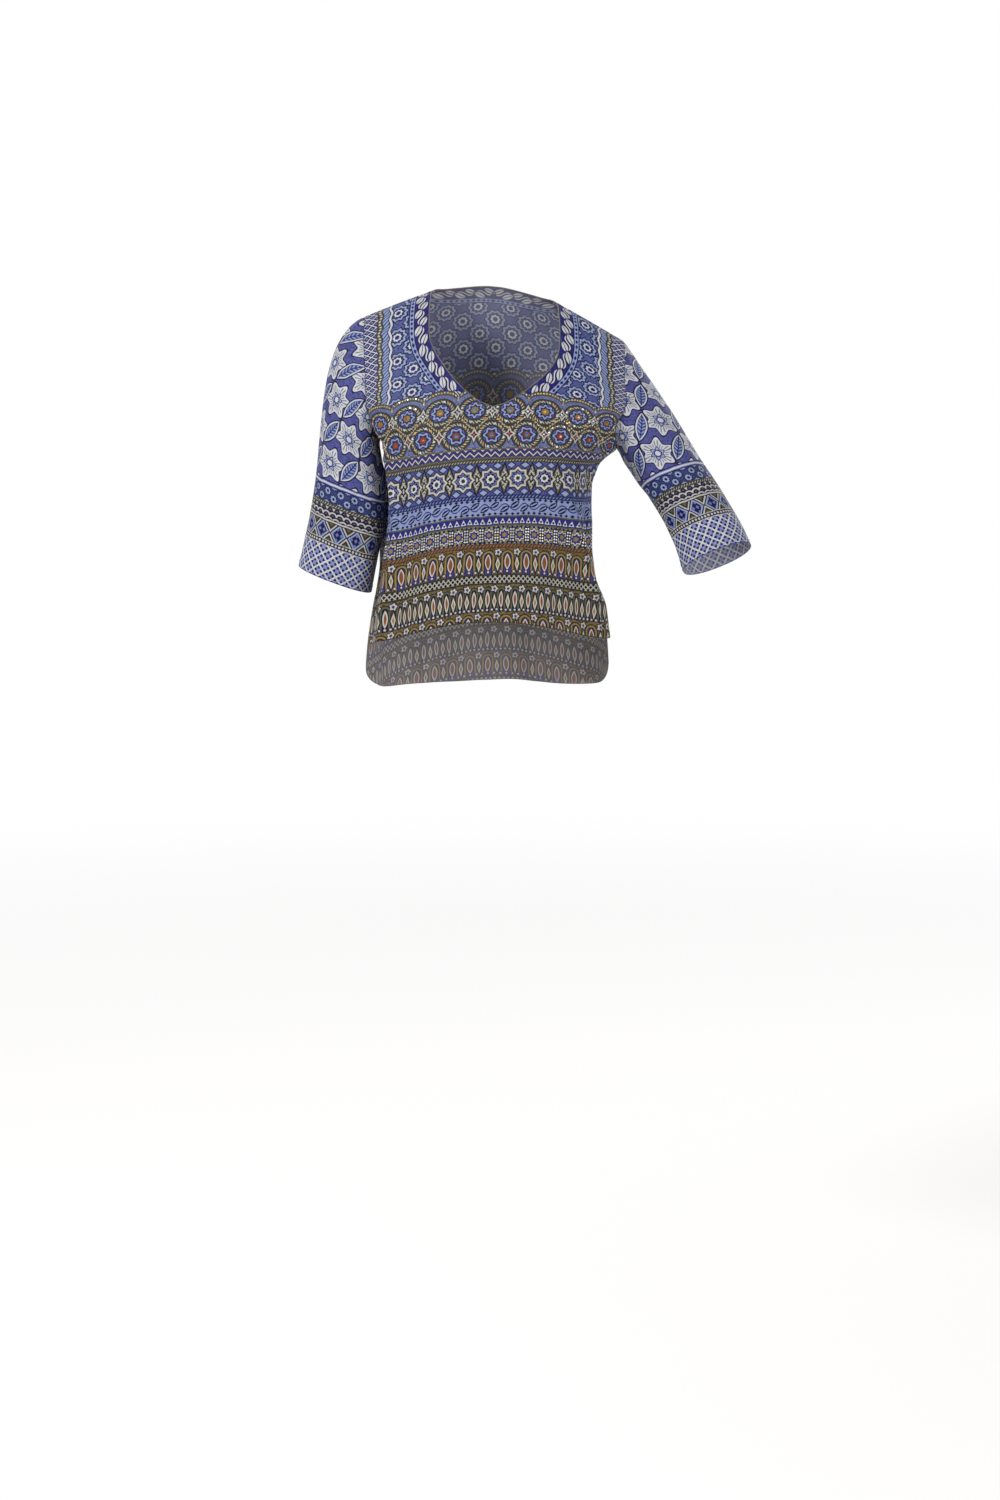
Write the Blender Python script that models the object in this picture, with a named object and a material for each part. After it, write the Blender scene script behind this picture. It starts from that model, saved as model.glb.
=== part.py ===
"""A blouse in the form that it has when worn, hollow and with no wearer.

Metres, +Z up. +X is the wearer's left and -Y is the front. The origin lies
midway between the neck points, where the shoulder seams meet the neckline.

The body is one surface of closed rings, from the back hem up to the shoulder
line, where each ring is flat and the front meets the back. A point on it has
an angle (0 at the wearer's right side seam, 90 at the centre front, 180 at
the left side seam, 270 at the centre back) and a run, the length of cloth
from the shoulder line down the centre front. The front and the back are cut
from it at the side seams, armholes and neckline. Each sleeve is a tube from
its armhole to its cuff.
"""

import math

import bpy
import numpy as np

# Sides of the body, as signs
FRONT, BACK = 1, -1
LEFT, RIGHT = 1, -1

# Cloth: its wall, the gap along a seam, and how much thicker a mitred edge of
# the wall may be
WALL = 0.002
SEAM_GAP = 0.0003
MOST_MITRE = 1.25

# Body sections, from the shoulder line down. height is the ring's at its
# centre; side_drop is how much lower the ring lies at its sides, and tilt how
# much it falls for each metre towards +X. lean is how much it rises for each
# metre towards the back. square is 2 for an ellipse and more for a boxier
# ring. power is 1 for a straight slope and 2 for an arch.
BODY_COLUMNS = (
    "height", "half_width", "front", "back",
    "side_drop", "tilt", "lean", "shift", "square", "power",
)
BODY_SECTIONS = (
    (0.0255, 0.210, 0.000, 0.000, 0.0955, 0.096, 0.30, 0.000, 2.0, 1.15),
    (0.0205, 0.210, 0.018, 0.018, 0.0945, 0.095, 0.30, 0.000, 2.1, 1.15),
    (0.0060, 0.209, 0.036, 0.034, 0.0910, 0.090, 0.28, 0.000, 2.3, 1.20),
    (-0.023, 0.205, 0.056, 0.053, 0.0820, 0.080, 0.24, 0.000, 2.5, 1.30),
    (-0.063, 0.198, 0.077, 0.070, 0.0670, 0.058, 0.16, 0.002, 2.7, 1.50),
    (-0.106, 0.184, 0.097, 0.082, 0.0480, 0.032, 0.08, 0.000, 2.8, 1.70),
    (-0.145, 0.160, 0.113, 0.089, 0.0320, 0.010, 0.03, -0.003, 2.7, 1.90),
    (-0.175, 0.144, 0.121, 0.092, 0.0240, -0.005, 0.01, -0.004, 2.6, 2.00),
    (-0.215, 0.137, 0.125, 0.094, 0.0240, -0.025, 0.00, -0.005, 2.5, 2.00),
    (-0.260, 0.136, 0.125, 0.096, 0.0300, -0.028, 0.00, -0.006, 2.45, 2.00),
    (-0.330, 0.147, 0.1245, 0.100, 0.0400, -0.022, 0.00, -0.008, 2.4, 2.00),
    (-0.418, 0.161, 0.126, 0.105, 0.0470, -0.022, 0.00, -0.010, 2.4, 1.65),
    (-0.545, 0.167, 0.124, 0.110, 0.0500, -0.005, 0.00, -0.009, 2.4, 1.80),
)
SLOPE_ROUNDING = 0.020

# Folds of the body: a ridge where depth is above zero, a trough where it is
# below. The fold runs between two heights and leans by so many degrees over
# that length; fade is the length over which it dies out at each end.
FOLD_COLUMNS = ("angle", "spread", "depth", "top", "bottom", "lean", "fade")
BODY_FOLDS = (
    # The ridge where the front turns to the side, on the wearer's right, and
    # the trough beside it.
    (28.0, 7.5, 0.0100, -0.200, -0.600, 12.0, 0.090),
    (13.0, 7.0, -0.0060, -0.260, -0.600, 6.0, 0.090),
    # The same on the wearer's left, where the ridge runs outwards and then
    # down, with a trough and a second ridge beside it and a dip at the side.
    (133.0, 6.5, 0.0085, -0.250, -0.335, 14.0, 0.050),
    (147.5, 6.5, 0.0085, -0.375, -0.600, 3.0, 0.050),
    (158.0, 6.0, -0.0085, -0.290, -0.600, 6.0, 0.080),
    (172.0, 6.0, 0.0050, -0.385, -0.600, 0.0, 0.050),
    (180.0, 15.0, -0.0070, -0.318, -0.335, 0.0, 0.045),
    # The cloth that the lifted arm draws out under the armhole.
    (180.0, 26.0, 0.0230, -0.160, -0.172, 0.0, 0.050),
    # Soft flutes down the back.
    (214.0, 10.0, 0.0060, -0.300, -0.700, 3.0, 0.140),
    (238.0, 10.0, -0.0060, -0.240, -0.700, 2.0, 0.140),
    (262.0, 11.0, 0.0070, -0.270, -0.700, -2.0, 0.160),
    (287.0, 10.0, -0.0055, -0.240, -0.700, -3.0, 0.140),
    (311.0, 11.0, 0.0065, -0.280, -0.700, -2.0, 0.140),
    (334.0, 9.0, -0.0050, -0.330, -0.700, 0.0, 0.120),
    # The side of the back, which billows out behind the hanging sleeve.
    (350.0, 9.0, 0.0060, -0.210, -0.290, 0.0, 0.050),
)

# Edges, as heights of the ring that an edge point lies on and, where the edge
# crosses the rings, the angle from the nearer side seam.
SHOULDER_LINE = 0.0255
ARMPIT = -0.166
SLIT_TOP = -0.368
FRONT_HEM = -0.418
BACK_HEM_SIDE = -0.453
BACK_HEM_CENTRE = -0.528
# How far the slit opens on each side, in degrees, and the least depth of body
# by which the side seam's gap is turned into degrees
SLIT_SPREAD = 2.6
LEAST_DEPTH = 0.05
EDGE_COLUMNS = ("height", "angle")
ARMHOLE_FRONT = (
    (ARMPIT, 0.0),
    (-0.1610, 8.0),
    (-0.1500, 17.0),
    (-0.1330, 25.0),
    (-0.1050, 32.0),
    (-0.0640, 36.5),
    (-0.0240, 38.0),
    (0.0080, 37.0),
    (SHOULDER_LINE, 34.5),
)
ARMHOLE_BACK = (
    (ARMPIT, 0.0),
    (-0.1590, 9.0),
    (-0.1450, 18.0),
    (-0.1220, 27.0),
    (-0.0900, 33.0),
    (-0.0540, 36.0),
    (-0.0180, 37.0),
    (0.0090, 36.0),
    (SHOULDER_LINE, 34.5),
)
NECK_FRONT = (
    (-0.1315, 90.0),
    (-0.1260, 85.0),
    (-0.1110, 79.0),
    (-0.0890, 73.8),
    (-0.0620, 69.6),
    (-0.0330, 66.8),
    (0.0030, 66.3),
    (SHOULDER_LINE, 66.4),
)
NECK_BACK = (
    (0.0040, 90.0),
    (0.0050, 84.0),
    (0.0090, 77.0),
    (0.0160, 71.0),
    (SHOULDER_LINE, 66.4),
)

# Sleeve sections from just below the armhole to the cuff: the centre, half
# the width across the tube, half its depth from front to back, the slant of
# the ring (its outer end higher) and how far its front is raised, in degrees.
SLEEVE_COLUMNS = ("x", "y", "z", "across", "deep", "slant", "raised")
SLEEVE_LEFT = (
    (0.2120, -0.001, -0.1950, 0.0450, 0.0510, 36.0, 0.0),
    (0.2380, -0.003, -0.2340, 0.0430, 0.0490, 34.0, 2.0),
    (0.2605, -0.006, -0.2680, 0.0435, 0.0470, 31.0, 6.0),
    (0.2800, -0.010, -0.3020, 0.0450, 0.0440, 26.0, 12.0),
    (0.2910, -0.013, -0.3250, 0.0470, 0.0420, 23.0, 18.0),
    (0.2985, -0.016, -0.3455, 0.0484, 0.0400, 22.1, 24.0),
)
SLEEVE_RIGHT = (
    (-0.1930, -0.006, -0.1920, 0.0417, 0.0490, 14.0, 0.0),
    (-0.1922, -0.011, -0.2400, 0.0468, 0.0470, 8.0, 0.0),
    (-0.1965, -0.015, -0.2900, 0.0503, 0.0445, 10.0, 0.0),
    (-0.2050, -0.018, -0.3300, 0.0504, 0.0435, 15.0, -1.0),
    (-0.2137, -0.020, -0.3715, 0.0516, 0.0420, 20.3, -2.0),
)
SLEEVE_SQUARE = 2.2
# The direction in which a sleeve leaves its armhole, in degrees below level,
# at the shoulder point and under the arm, and how far that direction holds.
LEAVES = {LEFT: (57.0, 42.0), RIGHT: (22.0, 56.0)}
CAP_HOLD = 0.95

# Steps, in degrees and metres, over which a surface's slope is read
SMALL_TURN = 0.02
SMALL_RUN = 0.0002
# The same along a sleeve, in rows of its table
SMALL_LEVEL = 0.05

# Mesh rows and columns, and the angle from which an edge is drawn sharp
SHARP_ANGLE = 50.0
HALF_COLUMNS = 17
HEM_ROWS_FRONT = 3
HEM_ROWS_BACK = 7
SIDE_ROWS = 13
LOWER_ARMHOLE_ROWS = 7
UPPER_ARMHOLE_ROWS = 12
CAP_ROWS = 5
SLEEVE_ROWS = 9


def columns(names, rows):
    return dict(zip(names, np.array(rows, float).T))


def through(knots, values, at):
    """A smooth curve through values at the knots, read where `at` says."""
    slopes = np.gradient(values, knots)
    at = np.asarray(at, float)
    i = np.clip(np.searchsorted(knots, at, side="right") - 1, 0, len(knots) - 2)
    length = knots[i + 1] - knots[i]
    t = (at - knots[i]) / length
    return (
        values[i] * (1 + 2 * t) * (1 - t) ** 2
        + values[i + 1] * t * t * (3 - 2 * t)
        + slopes[i] * length * t * (1 - t) ** 2
        - slopes[i + 1] * length * t * t * (1 - t)
    )


def body_table():
    """The body's columns by run, mirrored past the shoulder line."""
    table = columns(BODY_COLUMNS, BODY_SECTIONS)
    steps = np.hypot(np.diff(table["height"]), np.diff(table["front"]))
    runs = np.concatenate([[0.0], np.cumsum(steps)])
    odd = {"front", "back"}
    mirrored = {
        name: np.concatenate([(-1 if name in odd else 1) * column[:0:-1], column])
        for name, column in table.items()
    }
    return np.concatenate([-runs[:0:-1], runs]), mirrored


BODY_RUNS, BODY_TABLE = body_table()
FOLDS = columns(FOLD_COLUMNS, BODY_FOLDS)


def section(name, run):
    return through(BODY_RUNS, BODY_TABLE[name], run)


def run_at(height):
    """The run of the ring whose centre lies at this height."""
    runs = np.linspace(0, BODY_RUNS[-1], 2000)
    return np.interp(-np.asarray(height, float), -section("height", runs), runs)


def smooth_step(t):
    t = np.clip(t, 0, 1)
    return t * t * (3 - 2 * t)


def fold_depth(angle, height):
    """How far the folds move a point of the body out, at an angle in degrees."""
    total = np.zeros(np.broadcast(angle, height).shape)
    for row in zip(*FOLDS.values()):
        fold = dict(zip(FOLDS, row))
        along = (fold["top"] - height) / (fold["top"] - fold["bottom"])
        centre = fold["angle"] + fold["lean"] * np.clip(along, 0, 1)
        away = (angle - centre + 180) % 360 - 180
        ends = smooth_step((fold["top"] + fold["fade"] - height) / fold["fade"])
        ends = ends * smooth_step((height - fold["bottom"] + fold["fade"]) / fold["fade"])
        total = total + fold["depth"] * ends * np.exp(-((away / fold["spread"]) ** 2))
    return total


def ring_point(angle, run):
    """A point of the smooth body, with no folds. Angles are in degrees."""
    turn = np.radians(angle)
    side, ahead = -np.cos(turn), np.sin(turn)
    square = section("square", run)
    reach = (np.abs(side) ** square + np.abs(ahead) ** square) ** (-1 / square)
    half_width = section("half_width", run)
    across = half_width * side * reach
    depth = np.where(ahead > 0, section("front", run), section("back", run))
    slope = (np.hypot(across, SLOPE_ROUNDING) - SLOPE_ROUNDING) / half_width
    height = section("height", run) - section("side_drop", run) * slope ** section("power", run)
    back = -depth * ahead * reach
    height = height - section("tilt", run) * across + section("lean", run) * back
    return np.stack([across + section("shift", run), back, height], -1)


def normal_of(point, angle, run):
    """The unit normal of a body surface, pointing out."""
    around = point(angle + SMALL_TURN, run) - point(angle - SMALL_TURN, run)
    down = point(angle, run + SMALL_RUN) - point(angle, run - SMALL_RUN)
    normal = np.cross(down, around)
    return normal / np.linalg.norm(normal, axis=-1, keepdims=True)


def body_point(angle, run):
    angle, run = np.broadcast_arrays(np.asarray(angle, float), np.asarray(run, float))
    depth = fold_depth(angle, section("height", run))
    return ring_point(angle, run) + depth[..., None] * normal_of(ring_point, angle, run)


def body_normal(angle, run):
    return normal_of(body_point, angle, run)


def edge(table, share):
    """(angle, run) along an edge, at shares from 0 to 1 of its length."""
    rows = columns(EDGE_COLUMNS, table)
    runs = run_at(rows["height"])
    points = ring_point(rows["angle"], runs)
    steps = np.linalg.norm(np.diff(points, axis=0), axis=1)
    knots = np.concatenate([[0.0], np.cumsum(steps)])
    at = np.asarray(share) * knots[-1]
    return through(knots, rows["angle"], at), through(knots, runs, at)


def spaced(first, last, count):
    """Evenly spaced values, without the last one."""
    return np.linspace(first, last, count + 1)[:-1]


def armhole_shares(neck_share):
    """Shares of the armhole's length at which a row of the panel ends."""
    lower = spaced(0.0, neck_share, LOWER_ARMHOLE_ROWS)
    return np.concatenate([lower, np.linspace(neck_share, 1.0, UPPER_ARMHOLE_ROWS + 1)])


PANELS = {
    "front": {
        "face": FRONT,
        "armhole": ARMHOLE_FRONT,
        "neck": NECK_FRONT,
        "neck_share": 0.36,
        "hem_centre": FRONT_HEM,
        "hem_side": FRONT_HEM,
        "hem_rows": HEM_ROWS_FRONT,
    },
    "back": {
        "face": BACK,
        "armhole": ARMHOLE_BACK,
        "neck": NECK_BACK,
        "neck_share": 0.80,
        "hem_centre": BACK_HEM_CENTRE,
        "hem_side": BACK_HEM_SIDE,
        "hem_rows": HEM_ROWS_BACK,
    },
}


def panel_edges(panel):
    """The (angle, run) of each row's inner and outer end, from the hem up.

    Angles are measured from the side seam. The inner end runs up the centre
    line and then the neckline, and the outer end up the side seam and then
    the armhole.
    """
    armpit, slit = run_at(ARMPIT), run_at(SLIT_TOP)
    hem_share = np.linspace(1, 0, panel["hem_rows"], endpoint=False)
    side_share = np.linspace(1, 0, SIDE_ROWS, endpoint=False)
    hem_side = slit + (run_at(panel["hem_side"]) - slit) * hem_share
    hem_centre = slit + (run_at(panel["hem_centre"]) - slit) * hem_share
    side = armpit + (slit - armpit) * side_share
    shares = armhole_shares(panel["neck_share"])
    armhole_angle, armhole_run = edge(panel["armhole"], shares)
    neck_angle, neck_run = edge(panel["neck"], np.linspace(0, 1, UPPER_ARMHOLE_ROWS + 1))
    below_neck = armpit + (neck_run[0] - armpit) * spaced(0, 1, LOWER_ARMHOLE_ROWS)
    straight = np.concatenate([hem_side, side])
    slit_angle = SLIT_SPREAD * np.concatenate([hem_share**1.5, np.zeros(SIDE_ROWS)])
    outer = (
        np.concatenate([slit_angle, armhole_angle]),
        np.concatenate([straight, armhole_run]),
    )
    inner_run = np.concatenate([hem_centre, side, below_neck, neck_run])
    inner_angle = np.full(len(inner_run), 90.0)
    inner_angle[-len(neck_angle):] = neck_angle
    return (inner_angle, inner_run), outer


def half_panel(panel, side):
    """Angles and runs of one half, as rows from the hem and columns from the centre."""
    (inner_angle, inner_run), (outer_angle, outer_run) = panel_edges(panel)
    share = np.linspace(0, 1, HALF_COLUMNS + 1)
    angle = inner_angle[:, None] + (outer_angle - inner_angle)[:, None] * share
    run = inner_run[:, None] + (outer_run - inner_run)[:, None] * share**2
    # The panel stops half a seam gap short of the side seam and the shoulder line.
    depth = section("front" if panel["face"] == FRONT else "back", run)
    angle = np.maximum(angle, np.degrees(SEAM_GAP / 2 / np.maximum(depth, LEAST_DEPTH)))
    run = np.maximum(run, SEAM_GAP / 2 / np.sin(np.radians(angle)))
    around = angle if side == RIGHT else 180 - angle
    return around if panel["face"] == FRONT else -around, run


def armhole_loop(side):
    """Angles and runs round one armhole: shoulder, front, armpit, back."""
    angles, runs = [], []
    for name, face in (("front", FRONT), ("back", BACK)):
        angle, run = edge(PANELS[name]["armhole"], armhole_shares(PANELS[name]["neck_share"]))
        angle = angle if side == RIGHT else 180 - angle
        order = slice(None, 0, -1) if face == FRONT else slice(0, -1)
        angles.append((angle if face == FRONT else -angle)[order])
        runs.append(run[order])
    return np.concatenate(angles), np.concatenate(runs)


def unit(vectors):
    return vectors / np.linalg.norm(vectors, axis=-1, keepdims=True)


def armhole_seam(side):
    """Points round the armhole, with the way into the sleeve and the way out."""
    angle, run = armhole_loop(side)
    points = body_point(angle, run)
    normals = body_normal(angle, run)
    tangent = unit(np.roll(points, -1, axis=0) - np.roll(points, 1, axis=0))
    # The front and the back meet at these two points, across a seam gap.
    shoulder, armpit = 0, LOWER_ARMHOLE_ROWS + UPPER_ARMHOLE_ROWS
    turn, fall = side * SMALL_TURN, SMALL_RUN
    ahead, behind = body_point((angle[shoulder], -angle[shoulder]), fall)
    tangent[shoulder] = unit(ahead - behind)
    ahead, behind = body_point((angle[armpit] - turn, angle[armpit] + turn), run[armpit])
    tangent[armpit] = unit(behind - ahead)
    into_body = unit(np.cross(tangent, normals))
    centre = np.array([0.0, 0.0, ARMPIT])
    into_body *= np.sign((into_body * (centre - points)).sum(-1, keepdims=True))
    steps = np.linalg.norm(points - np.roll(points, 1, axis=0), axis=1)
    steps[0] = 0
    share = np.cumsum(steps) / (steps.sum() + np.linalg.norm(points[0] - points[-1]))
    under = (1 - np.cos(2 * np.pi * share)) / 2
    at_shoulder, at_underarm = LEAVES[side]
    below = np.radians(at_shoulder + (at_underarm - at_shoulder) * under)
    leaves = np.stack([side * np.cos(below), 0 * below, -np.sin(below)], -1)
    flat = unit(leaves - (leaves * tangent).sum(-1, keepdims=True) * tangent)
    across = unit(flat - into_body)
    out = np.cross(tangent, across)
    out *= np.sign((out * normals).sum(-1, keepdims=True))
    # The sine of half the angle between the body's cloth and the sleeve's
    sine = np.sqrt(np.clip((1 - (flat * into_body).sum(-1)) / 2, MOST_MITRE**-2, 1))
    out = out / sine[:, None]
    return {"points": points, "across": across, "out": out, "leaves": leaves, "share": share}


def split_short(a, b, c, d, points):
    """A quad that starts at an end of its shorter diagonal, where it is split."""
    first, second = points[a] - points[c], points[b] - points[d]
    return (a, b, c, d) if first @ first <= second @ second else (b, c, d, a)


def rim_of(faces):
    """The edges that only one face has, in that face's direction."""
    edges = {(a, b) for face in faces for a, b in zip(face, face[1:] + face[:1])}
    return sorted((a, b) for a, b in edges if (b, a) not in edges)


def wall_object(name, outer, inner, blocks, material):
    """A wall over blocks of point numbers: both of its sides and the rims between."""
    faces = []
    for block in blocks:
        for low, high in zip(block[:-1].tolist(), block[1:].tolist()):
            for a, b, c, d in zip(low[:-1], low[1:], high[1:], high[:-1]):
                faces.append(split_short(a, b, c, d, outer))
    inside = len(outer)
    turned = [tuple(inside + i for i in (face[0], *face[:0:-1])) for face in faces]
    rims = [(b, a, inside + a, inside + b) for a, b in rim_of(faces)]
    mesh = bpy.data.meshes.new(name)
    mesh.from_pydata(np.concatenate([outer, inner]).tolist(), [], faces + turned + rims)
    mesh.validate()
    mesh.shade_smooth()
    mesh.set_sharp_from_angle(angle=math.radians(SHARP_ANGLE))
    mesh.materials.append(material)
    return bpy.data.objects.new(name, mesh)


def panel_object(name, material):
    """A panel: two halves that share the centre line below the neckline."""
    panel = PANELS[name]
    halves = [half_panel(panel, side) for side in (RIGHT, LEFT)]
    shared = len(halves[0][0]) - UPPER_ARMHOLE_ROWS
    outs = [body_normal(*half) for half in halves]
    hem = panel["hem_rows"] + SIDE_ROWS
    seams = [armhole_seam(side) for side in (RIGHT, LEFT)]
    for out, seam in zip(outs, seams):
        count = out.shape[0] - hem
        ring = np.concatenate([seam["out"], seam["out"][:1]])
        own = ring[:count][::-1] if panel["face"] == FRONT else ring[-count:]
        out[hem:, -1] = own
    middle = [body_point(*half) for half in halves]
    points = np.concatenate([middle[0].reshape(-1, 3), middle[1].reshape(-1, 3)])
    out = np.concatenate([outs[0].reshape(-1, 3), outs[1].reshape(-1, 3)])
    rows, count = halves[0][0].shape
    first = np.arange(rows * count).reshape(rows, count)
    second = first + rows * count
    second[:shared, 0] = first[:shared, 0]
    blocks = [first[:, ::-1], second]
    if panel["face"] == BACK:
        blocks = [block[:, ::-1] for block in blocks]
    used = np.unique(np.concatenate([block.ravel() for block in blocks]))
    renumber = np.full(len(points), -1)
    renumber[used] = np.arange(len(used))
    blocks = [renumber[block] for block in blocks]
    outer = points[used] + out[used] * WALL / 2
    inner = points[used] - out[used] * WALL / 2
    return wall_object(name, outer, inner, blocks, material)


def sleeve_ring(table, level, turn, side):
    """Points round a sleeve at a level of its table, from the outer edge forwards."""
    knots = np.arange(len(table["x"]), dtype=float)
    row = {name: through(knots, column, level) for name, column in table.items()}
    slant, raised = np.radians(row["slant"]), np.radians(row["raised"])
    across = np.stack([side * np.cos(slant), 0 * slant, np.sin(slant)], -1)
    down = np.stack([side * np.sin(slant), 0 * slant, -np.cos(slant)], -1)
    ahead = np.array([0.0, -1.0, 0.0]) * np.cos(raised)[..., None]
    ahead = ahead - down * np.sin(raised)[..., None]
    reach = np.abs(np.cos(turn)) ** SLEEVE_SQUARE + np.abs(np.sin(turn)) ** SLEEVE_SQUARE
    reach = reach ** (-1 / SLEEVE_SQUARE)
    centre = np.stack([row["x"], row["y"], row["z"]], -1)
    return (
        centre
        + across * (row["across"] * np.cos(turn) * reach)[..., None]
        + ahead * (row["deep"] * np.sin(turn) * reach)[..., None]
    )


def sleeve_grid(table, side):
    """The sleeve's middle surface, as rows from the armhole and columns round it."""
    table = columns(SLEEVE_COLUMNS, table)
    seam = armhole_seam(side)
    turn = 2 * np.pi * seam["share"]
    start = seam["points"] + seam["across"] * SEAM_GAP
    first = sleeve_ring(table, np.zeros_like(turn), turn, side)
    second = sleeve_ring(table, np.full_like(turn, SMALL_LEVEL), turn, side)
    distance = np.linalg.norm(first - start, axis=1, keepdims=True)
    leave = seam["leaves"] * distance * CAP_HOLD
    arrive = unit(second - first) * distance * CAP_HOLD
    rows = []
    for t in spaced(0, 1, CAP_ROWS):
        rows.append(
            start * (1 + 2 * t) * (1 - t) ** 2
            + first * t * t * (3 - 2 * t)
            + leave * t * (1 - t) ** 2
            - arrive * t * t * (1 - t)
        )
    for level in np.linspace(0, len(table["x"]) - 1, SLEEVE_ROWS + 1):
        rows.append(sleeve_ring(table, np.full_like(turn, level), turn, side))
    return np.array(rows), seam


def tube_normals(grid, side):
    """Unit normals of a tube's points, pointing out."""
    around = np.roll(grid, -1, axis=1) - np.roll(grid, 1, axis=1)
    along = np.gradient(grid, axis=0)
    return unit(np.cross(around, along)) * side


def sleeve_object(name, table, side, material):
    grid, seam = sleeve_grid(table, side)
    out = tube_normals(grid, side)
    out[0] = seam["out"]
    index = np.arange(grid.shape[0] * grid.shape[1]).reshape(grid.shape[:2])
    block = np.concatenate([index, index[:, :1]], axis=1)
    if side == RIGHT:
        block = block[:, ::-1]
    points, out = grid.reshape(-1, 3), out.reshape(-1, 3)
    return wall_object(name, points + out * WALL / 2, points - out * WALL / 2, [block], material)


def cloth_material(name, colour, roughness):
    material = bpy.data.materials.new(name)
    material.use_nodes = True
    shader = material.node_tree.nodes["Principled BSDF"]
    shader.inputs["Base Color"].default_value = (*colour, 1.0)
    shader.inputs["Roughness"].default_value = roughness
    shader.inputs["Metallic"].default_value = 0.0
    return material


def main():
    for old in list(bpy.data.objects):
        bpy.data.objects.remove(old)
    home = bpy.data.collections.new("blouse")
    bpy.context.scene.collection.children.link(home)
    origin = bpy.data.objects.new("blouse_origin", None)
    home.objects.link(origin)
    pieces = (
        panel_object("front", cloth_material("front_crepe", (0.16, 0.17, 0.36), 0.62)),
        panel_object("back", cloth_material("back_crepe", (0.15, 0.16, 0.34), 0.62)),
        sleeve_object(
            "sleeve_left", SLEEVE_LEFT, LEFT, cloth_material("left_crepe", (0.20, 0.22, 0.46), 0.62)
        ),
        sleeve_object(
            "sleeve_right", SLEEVE_RIGHT, RIGHT, cloth_material("right_crepe", (0.20, 0.22, 0.46), 0.62)
        ),
    )
    for piece in pieces:
        home.objects.link(piece)
        piece.parent = origin


main()
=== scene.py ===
"""The blouse as it looks: thin printed crepe on the form of its solids.

The form functions and their tables are the solids' own, at a finer mesh and
with more creases. Metres, +Z up, +X the wearer's left, -Y the front. Print
coordinates are in millimetres.
"""

import math

import bpy
import numpy as np
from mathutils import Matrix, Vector


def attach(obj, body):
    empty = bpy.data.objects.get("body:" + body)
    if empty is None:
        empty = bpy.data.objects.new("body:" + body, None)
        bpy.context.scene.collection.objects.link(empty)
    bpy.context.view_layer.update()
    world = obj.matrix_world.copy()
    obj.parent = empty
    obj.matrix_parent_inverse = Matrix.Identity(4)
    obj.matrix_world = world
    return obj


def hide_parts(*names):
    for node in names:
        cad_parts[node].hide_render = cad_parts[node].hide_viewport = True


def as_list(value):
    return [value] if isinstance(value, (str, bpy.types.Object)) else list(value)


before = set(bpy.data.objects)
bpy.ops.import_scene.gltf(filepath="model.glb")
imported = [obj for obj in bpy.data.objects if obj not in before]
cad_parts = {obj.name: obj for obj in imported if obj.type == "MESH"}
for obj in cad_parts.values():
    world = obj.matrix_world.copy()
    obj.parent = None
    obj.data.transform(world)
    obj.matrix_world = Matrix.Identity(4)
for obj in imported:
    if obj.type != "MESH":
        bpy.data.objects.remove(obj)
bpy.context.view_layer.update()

FRONT, BACK = 1, -1
LEFT, RIGHT = 1, -1

# Cloth: half its thickness, and half of it where an edge is turned and sewn;
# how wide the turned edge and the step to it are; the gap along a seam, how
# deep the cloth dips into a seam and from how far; how far a mitre at an armhole
# may stretch the cloth's thickness; and how much the rim looks like the wrong side.
HALF_CLOTH = 0.00022
HALF_TURNED = 0.00050
TURN_WIDTH = 0.0075
TURN_RAMP = 0.0012
SEAM_GAP = 0.0001
SEAM_DIP = 0.0008
SEAM_REACH = 0.0030
MOST_MITRE = 1.25
RIM_WRONG_SIDE = 0.3

BODY_COLUMNS = (
    "height", "half_width", "front", "back",
    "side_drop", "tilt", "lean", "shift", "square", "power",
)
BODY_SECTIONS = (
    (0.0255, 0.210, 0.000, 0.000, 0.0955, 0.096, 0.30, 0.000, 2.0, 1.15),
    (0.0205, 0.210, 0.018, 0.018, 0.0945, 0.095, 0.30, 0.000, 2.1, 1.15),
    (0.0060, 0.209, 0.036, 0.034, 0.0910, 0.090, 0.28, 0.000, 2.3, 1.20),
    (-0.023, 0.205, 0.056, 0.053, 0.0820, 0.080, 0.24, 0.000, 2.5, 1.30),
    (-0.063, 0.198, 0.077, 0.070, 0.0670, 0.058, 0.16, 0.002, 2.7, 1.50),
    (-0.106, 0.184, 0.097, 0.082, 0.0480, 0.032, 0.08, 0.000, 2.8, 1.70),
    (-0.145, 0.160, 0.113, 0.089, 0.0320, 0.010, 0.03, -0.003, 2.7, 1.90),
    (-0.175, 0.144, 0.121, 0.092, 0.0240, -0.005, 0.01, -0.004, 2.6, 2.00),
    (-0.215, 0.137, 0.125, 0.094, 0.0240, -0.025, 0.00, -0.005, 2.5, 2.00),
    (-0.260, 0.136, 0.125, 0.096, 0.0300, -0.028, 0.00, -0.006, 2.45, 2.00),
    (-0.330, 0.147, 0.1245, 0.100, 0.0400, -0.022, 0.00, -0.008, 2.4, 2.00),
    (-0.418, 0.161, 0.126, 0.105, 0.0470, -0.022, 0.00, -0.010, 2.4, 1.65),
    (-0.545, 0.167, 0.124, 0.110, 0.0500, -0.005, 0.00, -0.009, 2.4, 1.80),
)
SLOPE_ROUNDING = 0.020

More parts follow.
